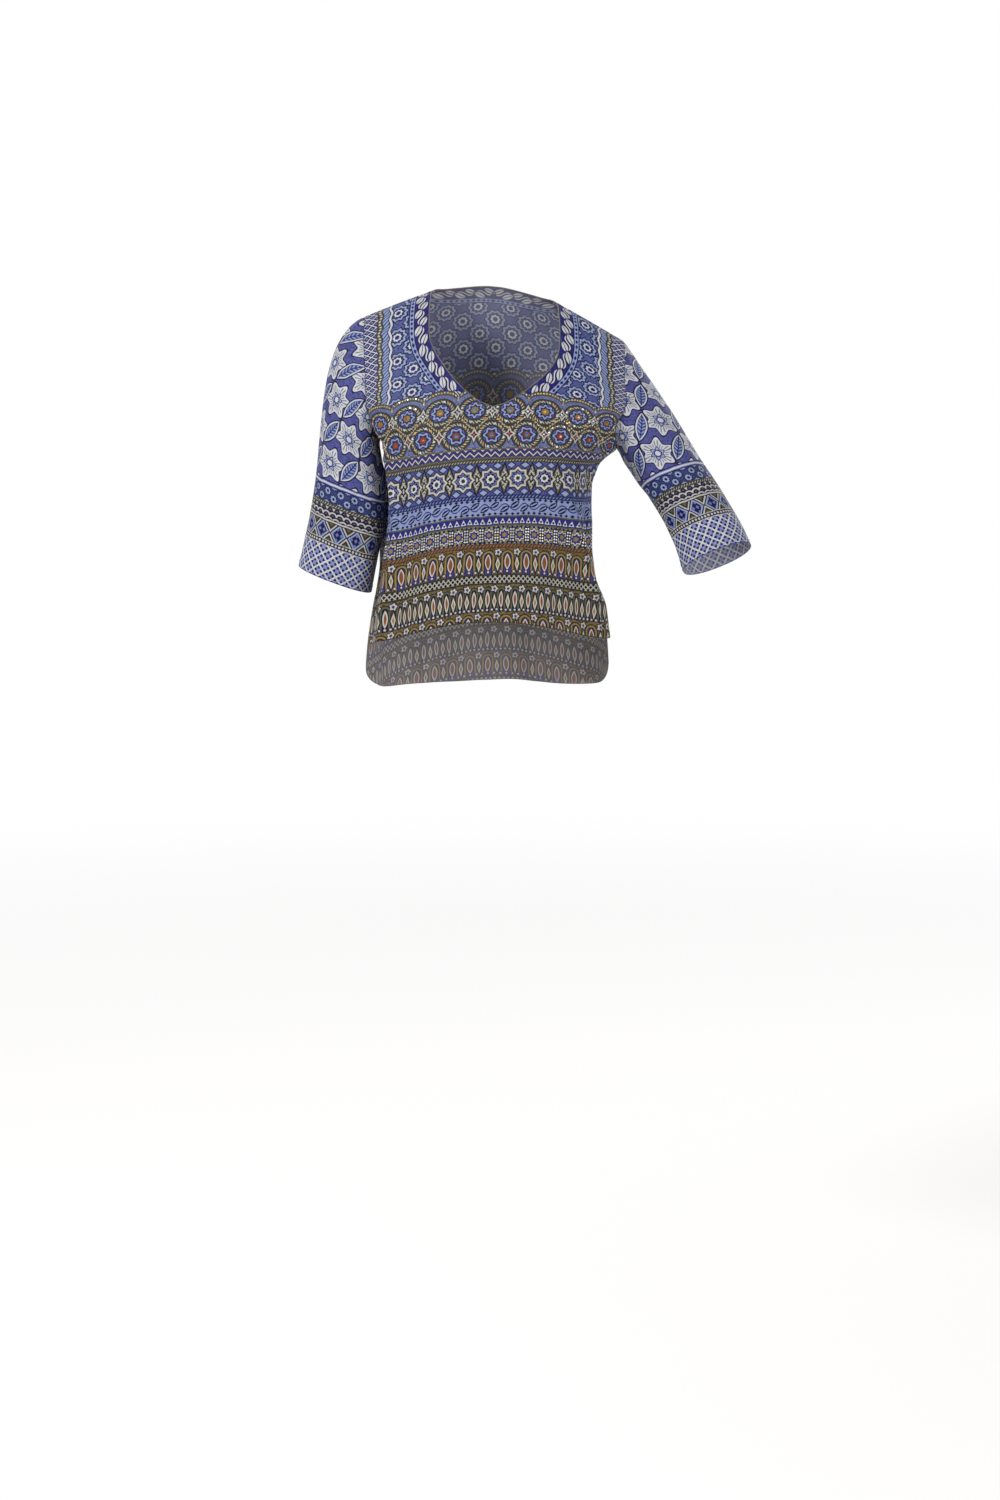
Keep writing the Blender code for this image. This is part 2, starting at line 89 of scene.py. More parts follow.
FOLD_COLUMNS = ("angle", "spread", "depth", "top", "bottom", "lean", "fade")
BODY_FOLDS = (
    (28.0, 7.5, 0.0100, -0.200, -0.600, 12.0, 0.090),
    (13.0, 7.0, -0.0060, -0.260, -0.600, 6.0, 0.090),
    (133.0, 6.5, 0.0085, -0.250, -0.335, 14.0, 0.050),
    (147.5, 6.5, 0.0085, -0.375, -0.600, 3.0, 0.050),
    (158.0, 6.0, -0.0085, -0.290, -0.600, 6.0, 0.080),
    (172.0, 6.0, 0.0050, -0.385, -0.600, 0.0, 0.050),
    (180.0, 15.0, -0.0070, -0.318, -0.335, 0.0, 0.045),
    (180.0, 26.0, 0.0230, -0.160, -0.172, 0.0, 0.050),
    (214.0, 10.0, 0.0060, -0.300, -0.700, 3.0, 0.140),
    (238.0, 10.0, -0.0060, -0.240, -0.700, 2.0, 0.140),
    (262.0, 11.0, 0.0070, -0.270, -0.700, -2.0, 0.160),
    (287.0, 10.0, -0.0055, -0.240, -0.700, -3.0, 0.140),
    (311.0, 11.0, 0.0065, -0.280, -0.700, -2.0, 0.140),
    (334.0, 9.0, -0.0050, -0.330, -0.700, 0.0, 0.120),
    (350.0, 9.0, 0.0060, -0.210, -0.290, 0.0, 0.050),
)

# Creases, each along a bowed line from one place to another, in millimetres.
# around is in degrees on the body, and level is the height. deep is below zero
# for a trough, and bow is how far the line's middle is pushed to its side.
CREASE_COLUMNS = ("around", "level", "to_around", "to_level", "wide", "deep", "bow")
BODY_CREASE_SCALE = 2.5  # millimetres of the body's side to a degree
BODY_CREASES = (
    # The wearer's right armpit: short drags towards the bust and the waist.
    (9, -168, 33, -196, 5, 2.7, 3),
    (7, -180, 29, -214, 4.5, -2.6, 3),
    (5, -192, 27, -234, 5.5, 3, 2),
    (4, -210, 20, -252, 5, -2.2, 2),
    (14, -158, 36, -170, 4.5, -1.9, 2),
    # The same under the lifted left arm, longer and fanned out.
    (170, -172, 143, -196, 6.5, 3.3, -3),
    (172, -186, 146, -222, 5.5, -3, -3),
    (173, -200, 149, -248, 6.5, 3.2, -2),
    (175, -216, 157, -270, 5.5, -2.5, -2),
    (163, -160, 139, -174, 5, -2, -2),
    # From the bust down to the waist on both sides.
    (58, -205, 50, -300, 9, 1.6, 2),
    (66, -215, 63, -330, 10, -1.4, -1.5),
    (120, -200, 127, -315, 9, 1.7, -2),
    (112, -215, 115, -350, 10, -1.4, 1.5),
    (84, -150, 78, -196, 7, -0.9, 1.5),
    (95, -150, 101, -192, 7, -0.9, -1.5),
    # Shallow flutes of the front's lower half.
    (47, -300, 44, -440, 9, -3, 1),
    (60, -330, 58, -440, 11, 2.3, 1),
    (80, -345, 79, -440, 13, -2, 1),
    (101, -350, 103, -440, 12, 1.9, -1),
    (122, -330, 126, -440, 10, -2.4, -1),
    # Puckers where the shoulders carry the cloth.
    (37, 10, 52, -20, 5, 1.1, 3),
    (38.5, -10, 50, -46, 4.5, -0.9, 2),
    (41, 18, 58, 0, 4, -0.8, 2),
    (143, 10, 128, -24, 5, 1.3, -3),
    (141.5, -12, 130, -50, 4.5, -1.1, -2),
    (139, 18, 121, -2, 4, -0.8, -2),
    # Soft pulls from the neck's sides towards the V.
    (71, -60, 78, -138, 6, 0.7, -2),
    (109, -60, 102, -138, 6, 0.7, 2),
    # The sharp folds that run down both sides of the front.
    (26, -172, 36, -300, 4.5, 2.6, 1),
    (35, -285, 37, -440, 4.5, 2.4, 1),
    (133, -240, 146, -345, 5, 3, -1),
    (147, -330, 149.5, -445, 5, 2.8, -1),
    (140, -245, 157, -360, 4.5, -2.2, -1),
    (20, -235, 26, -400, 5, -2, 1),
    # The side seam on the wearer's right, and the waist beside it.
    (356, -230, 352, -330, 6, 1.5, -3),
    (3, -250, 8, -350, 6, -1.2, 2),
    # The back: drags under both arms, across the blades and at the waist.
    (350, -172, 322, -200, 6, 2.6, -3),
    (352, -190, 326, -230, 5.5, -2.3, -3),
    (354, -208, 333, -258, 6, 2.3, -2),
    (190, -172, 219, -198, 6.5, 3, 3),
    (188, -188, 215, -228, 5.5, -2.6, 3),
    (186, -206, 207, -262, 6.5, 2.7, 2),
    (321, 8, 305, -40, 6, 1.6, -3),
    (319, -16, 307, -66, 5, -1.4, -2),
    (219, 8, 236, -42, 6, 1.9, 3),
    (221, -18, 233, -70, 5, -1.5, 2),
    (246, -210, 292, -222, 7, -1.8, 1),
    (238, -236, 300, -240, 8, 2, -1),
    (250, -262, 284, -268, 8, -1.6, 1),
    (226, -330, 224, -480, 9, -3.2, 1),
    (250, -360, 249, -560, 10, -2.7, -1),
    (275, -340, 274, -560, 11, 2.7, 1),
    (299, -370, 300, -540, 10, -2.8, 1),
    (322, -350, 324, -500, 9, 3, -1),
    (343, -380, 345, -480, 7, -2.2, 1),
    (200, -350, 198, -470, 8, 2.7, -1),
)

# Heights of the edges; how far, in degrees, the slits spread at the hem; and the
# least depth that a seam's gap is turned into an angle with.
SHOULDER_LINE = 0.0255
ARMPIT = -0.166
SLIT_TOP = -0.368
FRONT_HEM = -0.418
BACK_HEM_SIDE = -0.453
BACK_HEM_CENTRE = -0.528
SLIT_SPREAD = 2.6
LEAST_DEPTH = 0.05
EDGE_COLUMNS = ("height", "angle")
ARMHOLE_FRONT = (
    (ARMPIT, 0.0),
    (-0.1610, 8.0),
    (-0.1500, 17.0),
    (-0.1330, 25.0),
    (-0.1050, 32.0),
    (-0.0640, 36.5),
    (-0.0240, 38.0),
    (0.0080, 37.0),
    (SHOULDER_LINE, 34.5),
)
ARMHOLE_BACK = (
    (ARMPIT, 0.0),
    (-0.1590, 9.0),
    (-0.1450, 18.0),
    (-0.1220, 27.0),
    (-0.0900, 33.0),
    (-0.0540, 36.0),
    (-0.0180, 37.0),
    (0.0090, 36.0),
    (SHOULDER_LINE, 34.5),
)
NECK_FRONT = (
    (-0.1315, 90.0),
    (-0.1260, 85.0),
    (-0.1110, 79.0),
    (-0.0890, 73.8),
    (-0.0620, 69.6),
    (-0.0330, 66.8),
    (0.0030, 66.3),
    (SHOULDER_LINE, 66.4),
)
NECK_BACK = (
    (0.0040, 90.0),
    (0.0050, 84.0),
    (0.0090, 77.0),
    (0.0160, 71.0),
    (SHOULDER_LINE, 66.4),
)

SLEEVE_COLUMNS = ("x", "y", "z", "across", "deep", "slant", "raised")
SLEEVE_LEFT = (
    (0.2120, -0.001, -0.1950, 0.0450, 0.0510, 36.0, 0.0),
    (0.2380, -0.003, -0.2340, 0.0430, 0.0490, 34.0, 2.0),
    (0.2605, -0.006, -0.2680, 0.0435, 0.0470, 31.0, 6.0),
    (0.2800, -0.010, -0.3020, 0.0450, 0.0440, 26.0, 12.0),
    (0.2910, -0.013, -0.3250, 0.0470, 0.0420, 23.0, 18.0),
    (0.2985, -0.016, -0.3455, 0.0484, 0.0400, 22.1, 24.0),
)
SLEEVE_RIGHT = (
    (-0.1930, -0.006, -0.1920, 0.0417, 0.0490, 14.0, 0.0),
    (-0.1922, -0.011, -0.2400, 0.0468, 0.0470, 8.0, 0.0),
    (-0.1965, -0.015, -0.2900, 0.0503, 0.0445, 10.0, 0.0),
    (-0.2050, -0.018, -0.3300, 0.0504, 0.0435, 15.0, -1.0),
    (-0.2137, -0.020, -0.3715, 0.0516, 0.0420, 20.3, -2.0),
)
SLEEVE_SQUARE = 2.2
LEAVES = {LEFT: (57.0, 42.0), RIGHT: (22.0, 56.0)}
CAP_HOLD = 0.95

# On the sleeves around is a share of the turn from the outer line forwards, so
# the front's middle is at 0.25 and the inner line at 0.5, and level counts down.
SLEEVE_CREASE_SCALE = 290.0  # millimetres round a sleeve
CREASE_START = 8.0  # how far below the armhole a sleeve's creases are whole
CREASE_END = 0.3  # the share of a crease's length over which it fades in or out
CREASE_DIP = 0.35  # the dip beside a crest, as a share of the crest
CREASE_DIP_PLACE = 1.9  # and how far beside it, in the crest's own widths
CREASES_LEFT = (
    (0.42, 12, 0.16, 62, 6, 1.5, 8.7),
    (0.46, 22, 0.24, 88, 6, -1.6, 8.7),
    (0.5, 34, 0.33, 118, 6.5, 1.5, 5.8),
    (0.6, 14, 0.82, 66, 6.5, 1.6, -8.7),
    (0.57, 26, 0.74, 96, 6, -1.6, -8.7),
    (0.05, 6, 0.1, 40, 5, 0.9, 2.9),
    (0.97, 5, 0.9, 42, 5, -0.9, 2.9),
    (0.18, 120, 0.14, 200, 10, 1.4, 2.9),
    (0.34, 105, 0.36, 205, 9, -1.6, 2.9),
    (0.45, 110, 0.47, 205, 8, 1.7, -2.9),
    (0.68, 110, 0.66, 205, 10, -1.5, 2.9),
    (0.84, 120, 0.86, 200, 10, 1.5, 2.9),
)
CREASES_RIGHT = (
    (0.44, 8, 0.22, 52, 5.5, 1.8, 8.7),
    (0.48, 18, 0.29, 78, 5, -1.8, 8.7),
    (0.52, 30, 0.38, 104, 6, 1.6, 5.8),
    (0.58, 12, 0.8, 58, 6, 1.8, -8.7),
    (0.56, 24, 0.72, 88, 5.5, -1.7, -8.7),
    (0.1, 4, 0.16, 34, 4.5, 0.8, 2.9),
    (0.93, 4, 0.88, 36, 4.5, -0.8, 2.9),
    (0.12, 90, 0.1, 230, 10, 1.2, 2.9),
    (0.28, 110, 0.3, 230, 9, -1.5, 2.9),
    (0.4, 100, 0.42, 230, 8, 1.6, -2.9),
    (0.63, 100, 0.61, 230, 9, -1.5, 2.9),
    (0.8, 110, 0.82, 230, 10, 1.4, 2.9),
)

# Steps that slopes are measured over, the least square of a length, the rings in
# the tables of runs and arcs, and how many points are measured at once.
SMALL_TURN = 0.02
SMALL_RUN = 0.0002
SMALL_LEVEL = 0.05
SMALL_SQUARE = 1e-16
RUN_RINGS = 2000
ARC_RINGS = 220
AT_ONCE = 2000

# The mesh: columns in half a panel, then rows along each edge of it and down a sleeve
HALF_COLUMNS = 92
HEM_ROWS_FRONT = 16
HEM_ROWS_BACK = 42
SIDE_ROWS = 66
LOWER_ARMHOLE_ROWS = 34
UPPER_ARMHOLE_ROWS = 58
CAP_ROWS = 30
SLEEVE_ROWS = 76


def columns(names, rows):
    return dict(zip(names, np.array(rows, float).T))


def hermite(first, last, leave, arrive, t):
    """A cubic from one value to another, with the slopes at both."""
    return (
        first * (1 + 2 * t) * (1 - t) ** 2 + last * t * t * (3 - 2 * t)
        + leave * t * (1 - t) ** 2 - arrive * t * t * (1 - t)
    )


def through(knots, values, at):
    """A smooth curve through values at the knots, read where `at` says."""
    slopes = np.gradient(values, knots)
    at = np.asarray(at, float)
    i = np.clip(np.searchsorted(knots, at, side="right") - 1, 0, len(knots) - 2)
    length = knots[i + 1] - knots[i]
    t = (at - knots[i]) / length
    return hermite(values[i], values[i + 1], slopes[i] * length, slopes[i + 1] * length, t)


def body_table():
    """The body's columns by run, mirrored past the shoulder line."""
    table = columns(BODY_COLUMNS, BODY_SECTIONS)
    steps = np.hypot(np.diff(table["height"]), np.diff(table["front"]))
    runs = np.concatenate([[0.0], np.cumsum(steps)])
    odd = {"front", "back"}
    mirrored = {
        name: np.concatenate([(-1 if name in odd else 1) * column[:0:-1], column])
        for name, column in table.items()
    }
    return np.concatenate([-runs[:0:-1], runs]), mirrored


BODY_RUNS, BODY_TABLE = body_table()
FOLDS = columns(FOLD_COLUMNS, BODY_FOLDS)


def section(name, run):
    return through(BODY_RUNS, BODY_TABLE[name], run)


def run_at(height):
    """The run of the ring whose centre lies at this height."""
    runs = np.linspace(0, BODY_RUNS[-1], RUN_RINGS)
    return np.interp(-np.asarray(height, float), -section("height", runs), runs)


def smooth_step(t):
    t = np.clip(t, 0, 1)
    return t * t * (3 - 2 * t)


def crease_depth(rows, around, level, turn, scale):
    """How far creases move the cloth out, each a soft crest with a shallow dip beside it.

    A whole turn is `turn` units of around, each `scale` millimetres long.
    """
    total = np.zeros(np.broadcast(around, level).shape)
    for row in rows:
        crease = dict(zip(CREASE_COLUMNS, row))
        x = ((around - crease["around"] + turn / 2) % turn - turn / 2) * scale
        y = level - crease["level"]
        dx = (crease["to_around"] - crease["around"]) * scale
        dy = crease["to_level"] - crease["level"]
        length = math.hypot(dx, dy)
        share = (x * dx + y * dy) / length**2
        inside = np.clip(share, 0, 1)
        side = (x * dy - y * dx) / length - crease["bow"] * 4 * inside * (1 - inside)
        side = side / crease["wide"]
        ends = smooth_step(share / CREASE_END) * smooth_step((1 - share) / CREASE_END)
        crest = np.exp(-(side**2)) - CREASE_DIP * np.exp(-((side - CREASE_DIP_PLACE) ** 2))
        total = total + crease["deep"] / 1000 * ends * crest
    return total


def fold_depth(angle, height):
    """How far the folds and creases move a point of the body out."""
    total = crease_depth(BODY_CREASES, angle, height * 1000, 360, BODY_CREASE_SCALE)
    for row in zip(*FOLDS.values()):
        fold = dict(zip(FOLDS, row))
        along = (fold["top"] - height) / (fold["top"] - fold["bottom"])
        centre = fold["angle"] + fold["lean"] * np.clip(along, 0, 1)
        away = (angle - centre + 180) % 360 - 180
        ends = smooth_step((fold["top"] + fold["fade"] - height) / fold["fade"])
        ends = ends * smooth_step((height - fold["bottom"] + fold["fade"]) / fold["fade"])
        total = total + fold["depth"] * ends * np.exp(-((away / fold["spread"]) ** 2))
    return total


def unit(vectors):
    return vectors / np.linalg.norm(vectors, axis=-1, keepdims=True)


def ring_point(angle, run):
    """A point of the smooth body, with no folds. Angles are in degrees."""
    turn = np.radians(angle)
    side, ahead = -np.cos(turn), np.sin(turn)
    square = section("square", run)
    reach = (np.abs(side) ** square + np.abs(ahead) ** square) ** (-1 / square)
    half_width = section("half_width", run)
    across = half_width * side * reach
    depth = np.where(ahead > 0, section("front", run), section("back", run))
    slope = (np.hypot(across, SLOPE_ROUNDING) - SLOPE_ROUNDING) / half_width
    height = section("height", run) - section("side_drop", run) * slope ** section("power", run)
    back = -depth * ahead * reach
    height = height - section("tilt", run) * across + section("lean", run) * back
    return np.stack([across + section("shift", run), back, height], -1)


def normal_of(point, angle, run):
    """The unit normal of a body surface, pointing out."""
    around = point(angle + SMALL_TURN, run) - point(angle - SMALL_TURN, run)
    down = point(angle, run + SMALL_RUN) - point(angle, run - SMALL_RUN)
    return unit(np.cross(down, around))


def body_point(angle, run):
    angle, run = np.broadcast_arrays(np.asarray(angle, float), np.asarray(run, float))
    depth = fold_depth(angle, section("height", run))
    return ring_point(angle, run) + depth[..., None] * normal_of(ring_point, angle, run)


def body_normal(angle, run):
    return normal_of(body_point, angle, run)


def measured(line):
    """How far along a line of points each of them lies."""
    steps = np.linalg.norm(np.diff(line, axis=0), axis=1)
    return np.concatenate([[0.0], np.cumsum(steps)])


def edge(table, share):
    """(angle, run) along an edge, at shares from 0 to 1 of its length."""
    rows = columns(EDGE_COLUMNS, table)
    runs = run_at(rows["height"])
    knots = measured(ring_point(rows["angle"], runs))
    at = np.asarray(share) * knots[-1]
    return through(knots, rows["angle"], at), through(knots, runs, at)


def spaced(first, last, count):
    """Evenly spaced values, without the last one."""
    return np.linspace(first, last, count + 1)[:-1]


def armhole_shares(neck_share):
    """Shares of the armhole's length at which a row of the panel ends."""
    lower = spaced(0.0, neck_share, LOWER_ARMHOLE_ROWS)
    return np.concatenate([lower, np.linspace(neck_share, 1.0, UPPER_ARMHOLE_ROWS + 1)])


PANEL_COLUMNS = ("face", "armhole", "neck", "neck_share", "hem_centre", "hem_side", "hem_rows")
PANELS = {
    name: dict(zip(PANEL_COLUMNS, row))
    for name, *row in (
        ("front", FRONT, ARMHOLE_FRONT, NECK_FRONT, 0.36, FRONT_HEM, FRONT_HEM, HEM_ROWS_FRONT),
        ("back", BACK, ARMHOLE_BACK, NECK_BACK, 0.80, BACK_HEM_CENTRE, BACK_HEM_SIDE, HEM_ROWS_BACK),
    )
}


def panel_edges(panel):
    """The (angle, run) of each row's inner and outer end, from the hem up."""
    armpit, slit = run_at(ARMPIT), run_at(SLIT_TOP)
    hem_share = np.linspace(1, 0, panel["hem_rows"], endpoint=False)
    side_share = np.linspace(1, 0, SIDE_ROWS, endpoint=False)
    hem_side = slit + (run_at(panel["hem_side"]) - slit) * hem_share
    hem_centre = slit + (run_at(panel["hem_centre"]) - slit) * hem_share
    side = armpit + (slit - armpit) * side_share
    shares = armhole_shares(panel["neck_share"])
    armhole_angle, armhole_run = edge(panel["armhole"], shares)
    neck_angle, neck_run = edge(panel["neck"], np.linspace(0, 1, UPPER_ARMHOLE_ROWS + 1))
    below_neck = armpit + (neck_run[0] - armpit) * spaced(0, 1, LOWER_ARMHOLE_ROWS)
    straight = np.concatenate([hem_side, side])
    slit_angle = SLIT_SPREAD * np.concatenate([hem_share**1.5, np.zeros(SIDE_ROWS)])
    outer = np.concatenate([slit_angle, armhole_angle]), np.concatenate([straight, armhole_run])
    inner_run = np.concatenate([hem_centre, side, below_neck, neck_run])
    inner_angle = np.full(len(inner_run), 90.0)
    inner_angle[-len(neck_angle):] = neck_angle
    return (inner_angle, inner_run), outer


def half_panel(panel, side):
    """Angles and runs of one half, as rows from the hem and columns from the centre."""
    inner, outer = np.array(panel_edges(panel))[..., None]
    share = np.linspace(0, 1, HALF_COLUMNS + 1)
    angle, run = inner + (outer - inner) * np.array([share, share**2])[:, None]
    depth = section("front" if panel["face"] == FRONT else "back", run)
    angle = np.maximum(angle, np.degrees(SEAM_GAP / 2 / np.maximum(depth, LEAST_DEPTH)))
    run = np.maximum(run, SEAM_GAP / 2 / np.sin(np.radians(angle)))
    around = angle if side == RIGHT else 180 - angle
    return around if panel["face"] == FRONT else -around, run


def armhole_loop(side):
    """Angles and runs round one armhole: shoulder, front, armpit, back."""
    angles, runs = [], []
    for name, face in (("front", FRONT), ("back", BACK)):
        angle, run = edge(PANELS[name]["armhole"], armhole_shares(PANELS[name]["neck_share"]))
        angle = angle if side == RIGHT else 180 - angle
        order = slice(None, 0, -1) if face == FRONT else slice(0, -1)
        angles.append((angle if face == FRONT else -angle)[order])
        runs.append(run[order])
    return np.concatenate(angles), np.concatenate(runs)


def armhole_seam(side):
    """Points round the armhole, with the way into the sleeve and the way out."""
    angle, run = armhole_loop(side)
    points = body_point(angle, run)
    normals = body_normal(angle, run)
    tangent = unit(np.roll(points, -1, axis=0) - np.roll(points, 1, axis=0))
    shoulder, armpit = 0, LOWER_ARMHOLE_ROWS + UPPER_ARMHOLE_ROWS
    turn, fall = side * SMALL_TURN, SMALL_RUN
    ahead, behind = body_point((angle[shoulder], -angle[shoulder]), fall)
    tangent[shoulder] = unit(ahead - behind)
    ahead, behind = body_point((angle[armpit] - turn, angle[armpit] + turn), run[armpit])
    tangent[armpit] = unit(behind - ahead)
    into_body = unit(np.cross(tangent, normals))
    centre = np.array([0.0, 0.0, ARMPIT])
    into_body *= np.sign((into_body * (centre - points)).sum(-1, keepdims=True))
    steps = np.linalg.norm(points - np.roll(points, 1, axis=0), axis=1)
    steps[0] = 0
    share = np.cumsum(steps) / (steps.sum() + np.linalg.norm(points[0] - points[-1]))
    under = (1 - np.cos(2 * np.pi * share)) / 2
    at_shoulder, at_underarm = LEAVES[side]
    below = np.radians(at_shoulder + (at_underarm - at_shoulder) * under)
    leaves = np.stack([side * np.cos(below), 0 * below, -np.sin(below)], -1)
    flat = unit(leaves - (leaves * tangent).sum(-1, keepdims=True) * tangent)
    across = unit(flat - into_body)
    out = np.cross(tangent, across)
    out *= np.sign((out * normals).sum(-1, keepdims=True))
    sine = np.sqrt(np.clip((1 - (flat * into_body).sum(-1)) / 2, MOST_MITRE**-2, 1))
    out = out / sine[:, None]
    return {"points": points, "across": across, "out": out, "leaves": leaves, "share": share}


def sleeve_ring(table, level, turn, side):
    """Points round a sleeve at a level of its table, from the outer edge forwards."""
    knots = np.arange(len(table["x"]), dtype=float)
    row = {name: through(knots, column, level) for name, column in table.items()}
    slant, raised = np.radians(row["slant"]), np.radians(row["raised"])
    across = np.stack([side * np.cos(slant), 0 * slant, np.sin(slant)], -1)
    down = np.stack([side * np.sin(slant), 0 * slant, -np.cos(slant)], -1)
    ahead = np.array([0.0, -1.0, 0.0]) * np.cos(raised)[..., None]
    ahead = ahead - down * np.sin(raised)[..., None]
    reach = np.abs(np.cos(turn)) ** SLEEVE_SQUARE + np.abs(np.sin(turn)) ** SLEEVE_SQUARE
    reach = reach ** (-1 / SLEEVE_SQUARE)
    centre = np.stack([row["x"], row["y"], row["z"]], -1)
    across = across * (row["across"] * np.cos(turn) * reach)[..., None]
    return centre + across + ahead * (row["deep"] * np.sin(turn) * reach)[..., None]


def tube_normals(grid, side):
    """Unit normals of a tube's points, pointing out."""
    around = np.roll(grid, -1, axis=1) - np.roll(grid, 1, axis=1)
    along = np.gradient(grid, axis=0)
    return unit(np.cross(around, along)) * side


def sleeve_grid(table, side, creases):
    """The sleeve's middle surface, as rows from the armhole and columns round it."""
    table = columns(SLEEVE_COLUMNS, table)
    seam = armhole_seam(side)
    turn = 2 * np.pi * seam["share"]
    start = seam["points"] + seam["across"] * SEAM_GAP
    first = sleeve_ring(table, np.zeros_like(turn), turn, side)
    second = sleeve_ring(table, np.full_like(turn, SMALL_LEVEL), turn, side)
    distance = np.linalg.norm(first - start, axis=1, keepdims=True)
    leave = seam["leaves"] * distance * CAP_HOLD
    arrive = unit(second - first) * distance * CAP_HOLD
    rows = [hermite(start, first, leave, arrive, t) for t in spaced(0, 1, CAP_ROWS)]
    for level in np.linspace(0, len(table["x"]) - 1, SLEEVE_ROWS + 1):
        rows.append(sleeve_ring(table, np.full_like(turn, level), turn, side))
    grid = np.array(rows)
    steps = np.linalg.norm(np.diff(grid, axis=0), axis=2) * 1000
    down = np.concatenate([np.zeros((1, grid.shape[1])), np.cumsum(steps, axis=0)])
    share = np.broadcast_to(seam["share"], down.shape)
    moved = crease_depth(creases, share, down, 1, SLEEVE_CREASE_SCALE)
    moved = moved * smooth_step(down / CREASE_START)
    grid = grid + tube_normals(grid, side) * moved[..., None]
    return grid, seam, down


def nearest(points, lines):
    """How far each point is from the nearest of some lines, and how far along that is."""
    starts = np.concatenate([line[:-1] for line in lines])
    ways = np.concatenate([np.diff(line, axis=0) for line in lines])
    sizes = np.maximum((ways**2).sum(-1), SMALL_SQUARE)
    before = np.concatenate([measured(line)[:-1] for line in lines])
    distance, along = np.empty(len(points)), np.empty(len(points))
    for i in range(0, len(points), AT_ONCE):
        gaps = points[i:i + AT_ONCE, None] - starts[None]
        share = np.clip((gaps * ways).sum(-1) / sizes, 0, 1)
        squares = ((gaps - share[..., None] * ways) ** 2).sum(-1)
        best = squares.argmin(1)
        rows = np.arange(len(best))
        distance[i:i + AT_ONCE] = np.sqrt(squares[rows, best])
        along[i:i + AT_ONCE] = before[best] + share[rows, best] * np.sqrt(sizes[best])
    return distance, along


def set_attribute(mesh, name, kind, domain, values):
    attribute = mesh.attributes.new(name, kind, domain)
    field = "vector" if kind == "FLOAT_VECTOR" else "value"
    attribute.data.foreach_set(field, np.asarray(values, np.float32).ravel())


def block_faces(block):
    """The quads of a grid of point numbers."""
    return np.stack([block[:-1, :-1], block[:-1, 1:], block[1:, 1:], block[1:, :-1]], -1).reshape(-1, 4)


def mesh_object(name, points, faces, smooth=True):
    mesh = bpy.data.meshes.new(name)
    mesh.from_pydata(np.asarray(points).reshape(-1, 3).tolist(), [], faces)
    if smooth:
        mesh.shade_smooth()
    return bpy.data.objects.new(name, mesh)


def shell(name, sheet):
    """A thin closed sheet of cloth as an object.

    sheet holds, for each point of its grids, the middle surface's points, the
    way out, the print place, the distances to edges, and weld, which names the
    one point that stands for all those in its place. Its blocks are grids of
    point numbers.
    """
    weld = sheet["weld"]
    faces = np.concatenate([block_faces(block) for block in sheet["blocks"]])
    used = np.unique(weld[faces])
    count = len(used)
    number = np.full(len(weld), -1)
    number[used] = np.arange(count)
    near, seam = sheet["edges"][used, :2].T[..., None] / 1000
    half = HALF_TURNED + (HALF_CLOTH - HALF_TURNED) * smooth_step((near - TURN_WIDTH) / TURN_RAMP)
    out = unit(sheet["out"][used])
    middle = sheet["points"][used] - out * SEAM_DIP * np.clip(1 - seam / SEAM_REACH, 0, 1) ** 2
    lift = sheet["out"][used] * half
    # Edges that only one face has, with the way that points off the cloth.
    edges = np.concatenate([faces[:, [i, (i + 1) % 4]] for i in range(4)])
    ends = number[weld[edges]]
    lone = ~np.isin(ends @ (count + 1, 1), ends @ (1, count + 1))
    edges, ends = edges[lone], ends[lone]
    first, last = ends.T
    away = np.zeros((count, 3))
    for end in (first, last):
        np.add.at(away, end, unit(np.cross(middle[last] - middle[first], out[first])))
    rim = np.unique(ends)
    rim_number = np.full(count, -1)
    rim_number[rim] = 2 * count + np.arange(len(rim))
    rim_points = middle[rim] + unit(away[rim]) * half[rim]
    rim_first, rim_last = rim_number[ends].T
    outer = number[weld[faces]]
    points = np.concatenate([middle + lift, middle - lift, rim_points])
    quads = np.concatenate([
        outer, outer[:, ::-1] + count,
        np.stack([last, first, rim_first, rim_last], -1),
        np.stack([rim_last, rim_first, first + count, last + count], -1),
    ])
    piece = mesh_object(name, points, quads.tolist())
    turned = edges[:, [1, 0, 0, 1]]
    corners = np.concatenate([faces, faces[:, ::-1], turned, turned])
    set_attribute(piece.data, "print", "FLOAT_VECTOR", "CORNER", sheet["print"][corners.ravel()])
    for attribute, kind in (("edges", "FLOAT_VECTOR"), ("along_neck", "FLOAT")):
        if attribute in sheet:
            values = sheet[attribute][used]
            values = np.concatenate([values, values, values[rim]])
            set_attribute(piece.data, attribute, kind, "POINT", values)
    wrong = np.repeat((0.0, 1.0, RIM_WRONG_SIDE), (count, count, len(rim)))
    set_attribute(piece.data, "inside", "FLOAT", "POINT", wrong)
    return piece


def arc_table(face):
    """Arc lengths round the rings from the centre line, in millimetres."""
    runs = np.linspace(0, BODY_RUNS[-1], ARC_RINGS)
    angles = np.linspace(0, 180, 361)
    points = ring_point(*np.broadcast_arrays(angles[None] * face, runs[:, None]))
    steps = np.linalg.norm(np.diff(points, axis=1), axis=2)
    arcs = np.concatenate([np.zeros((len(runs), 1)), np.cumsum(steps, axis=1)], axis=1)
    return runs, angles, (arcs - arcs[:, angles == 90]) * 1000


ARCS = {FRONT: arc_table(FRONT), BACK: arc_table(BACK)}


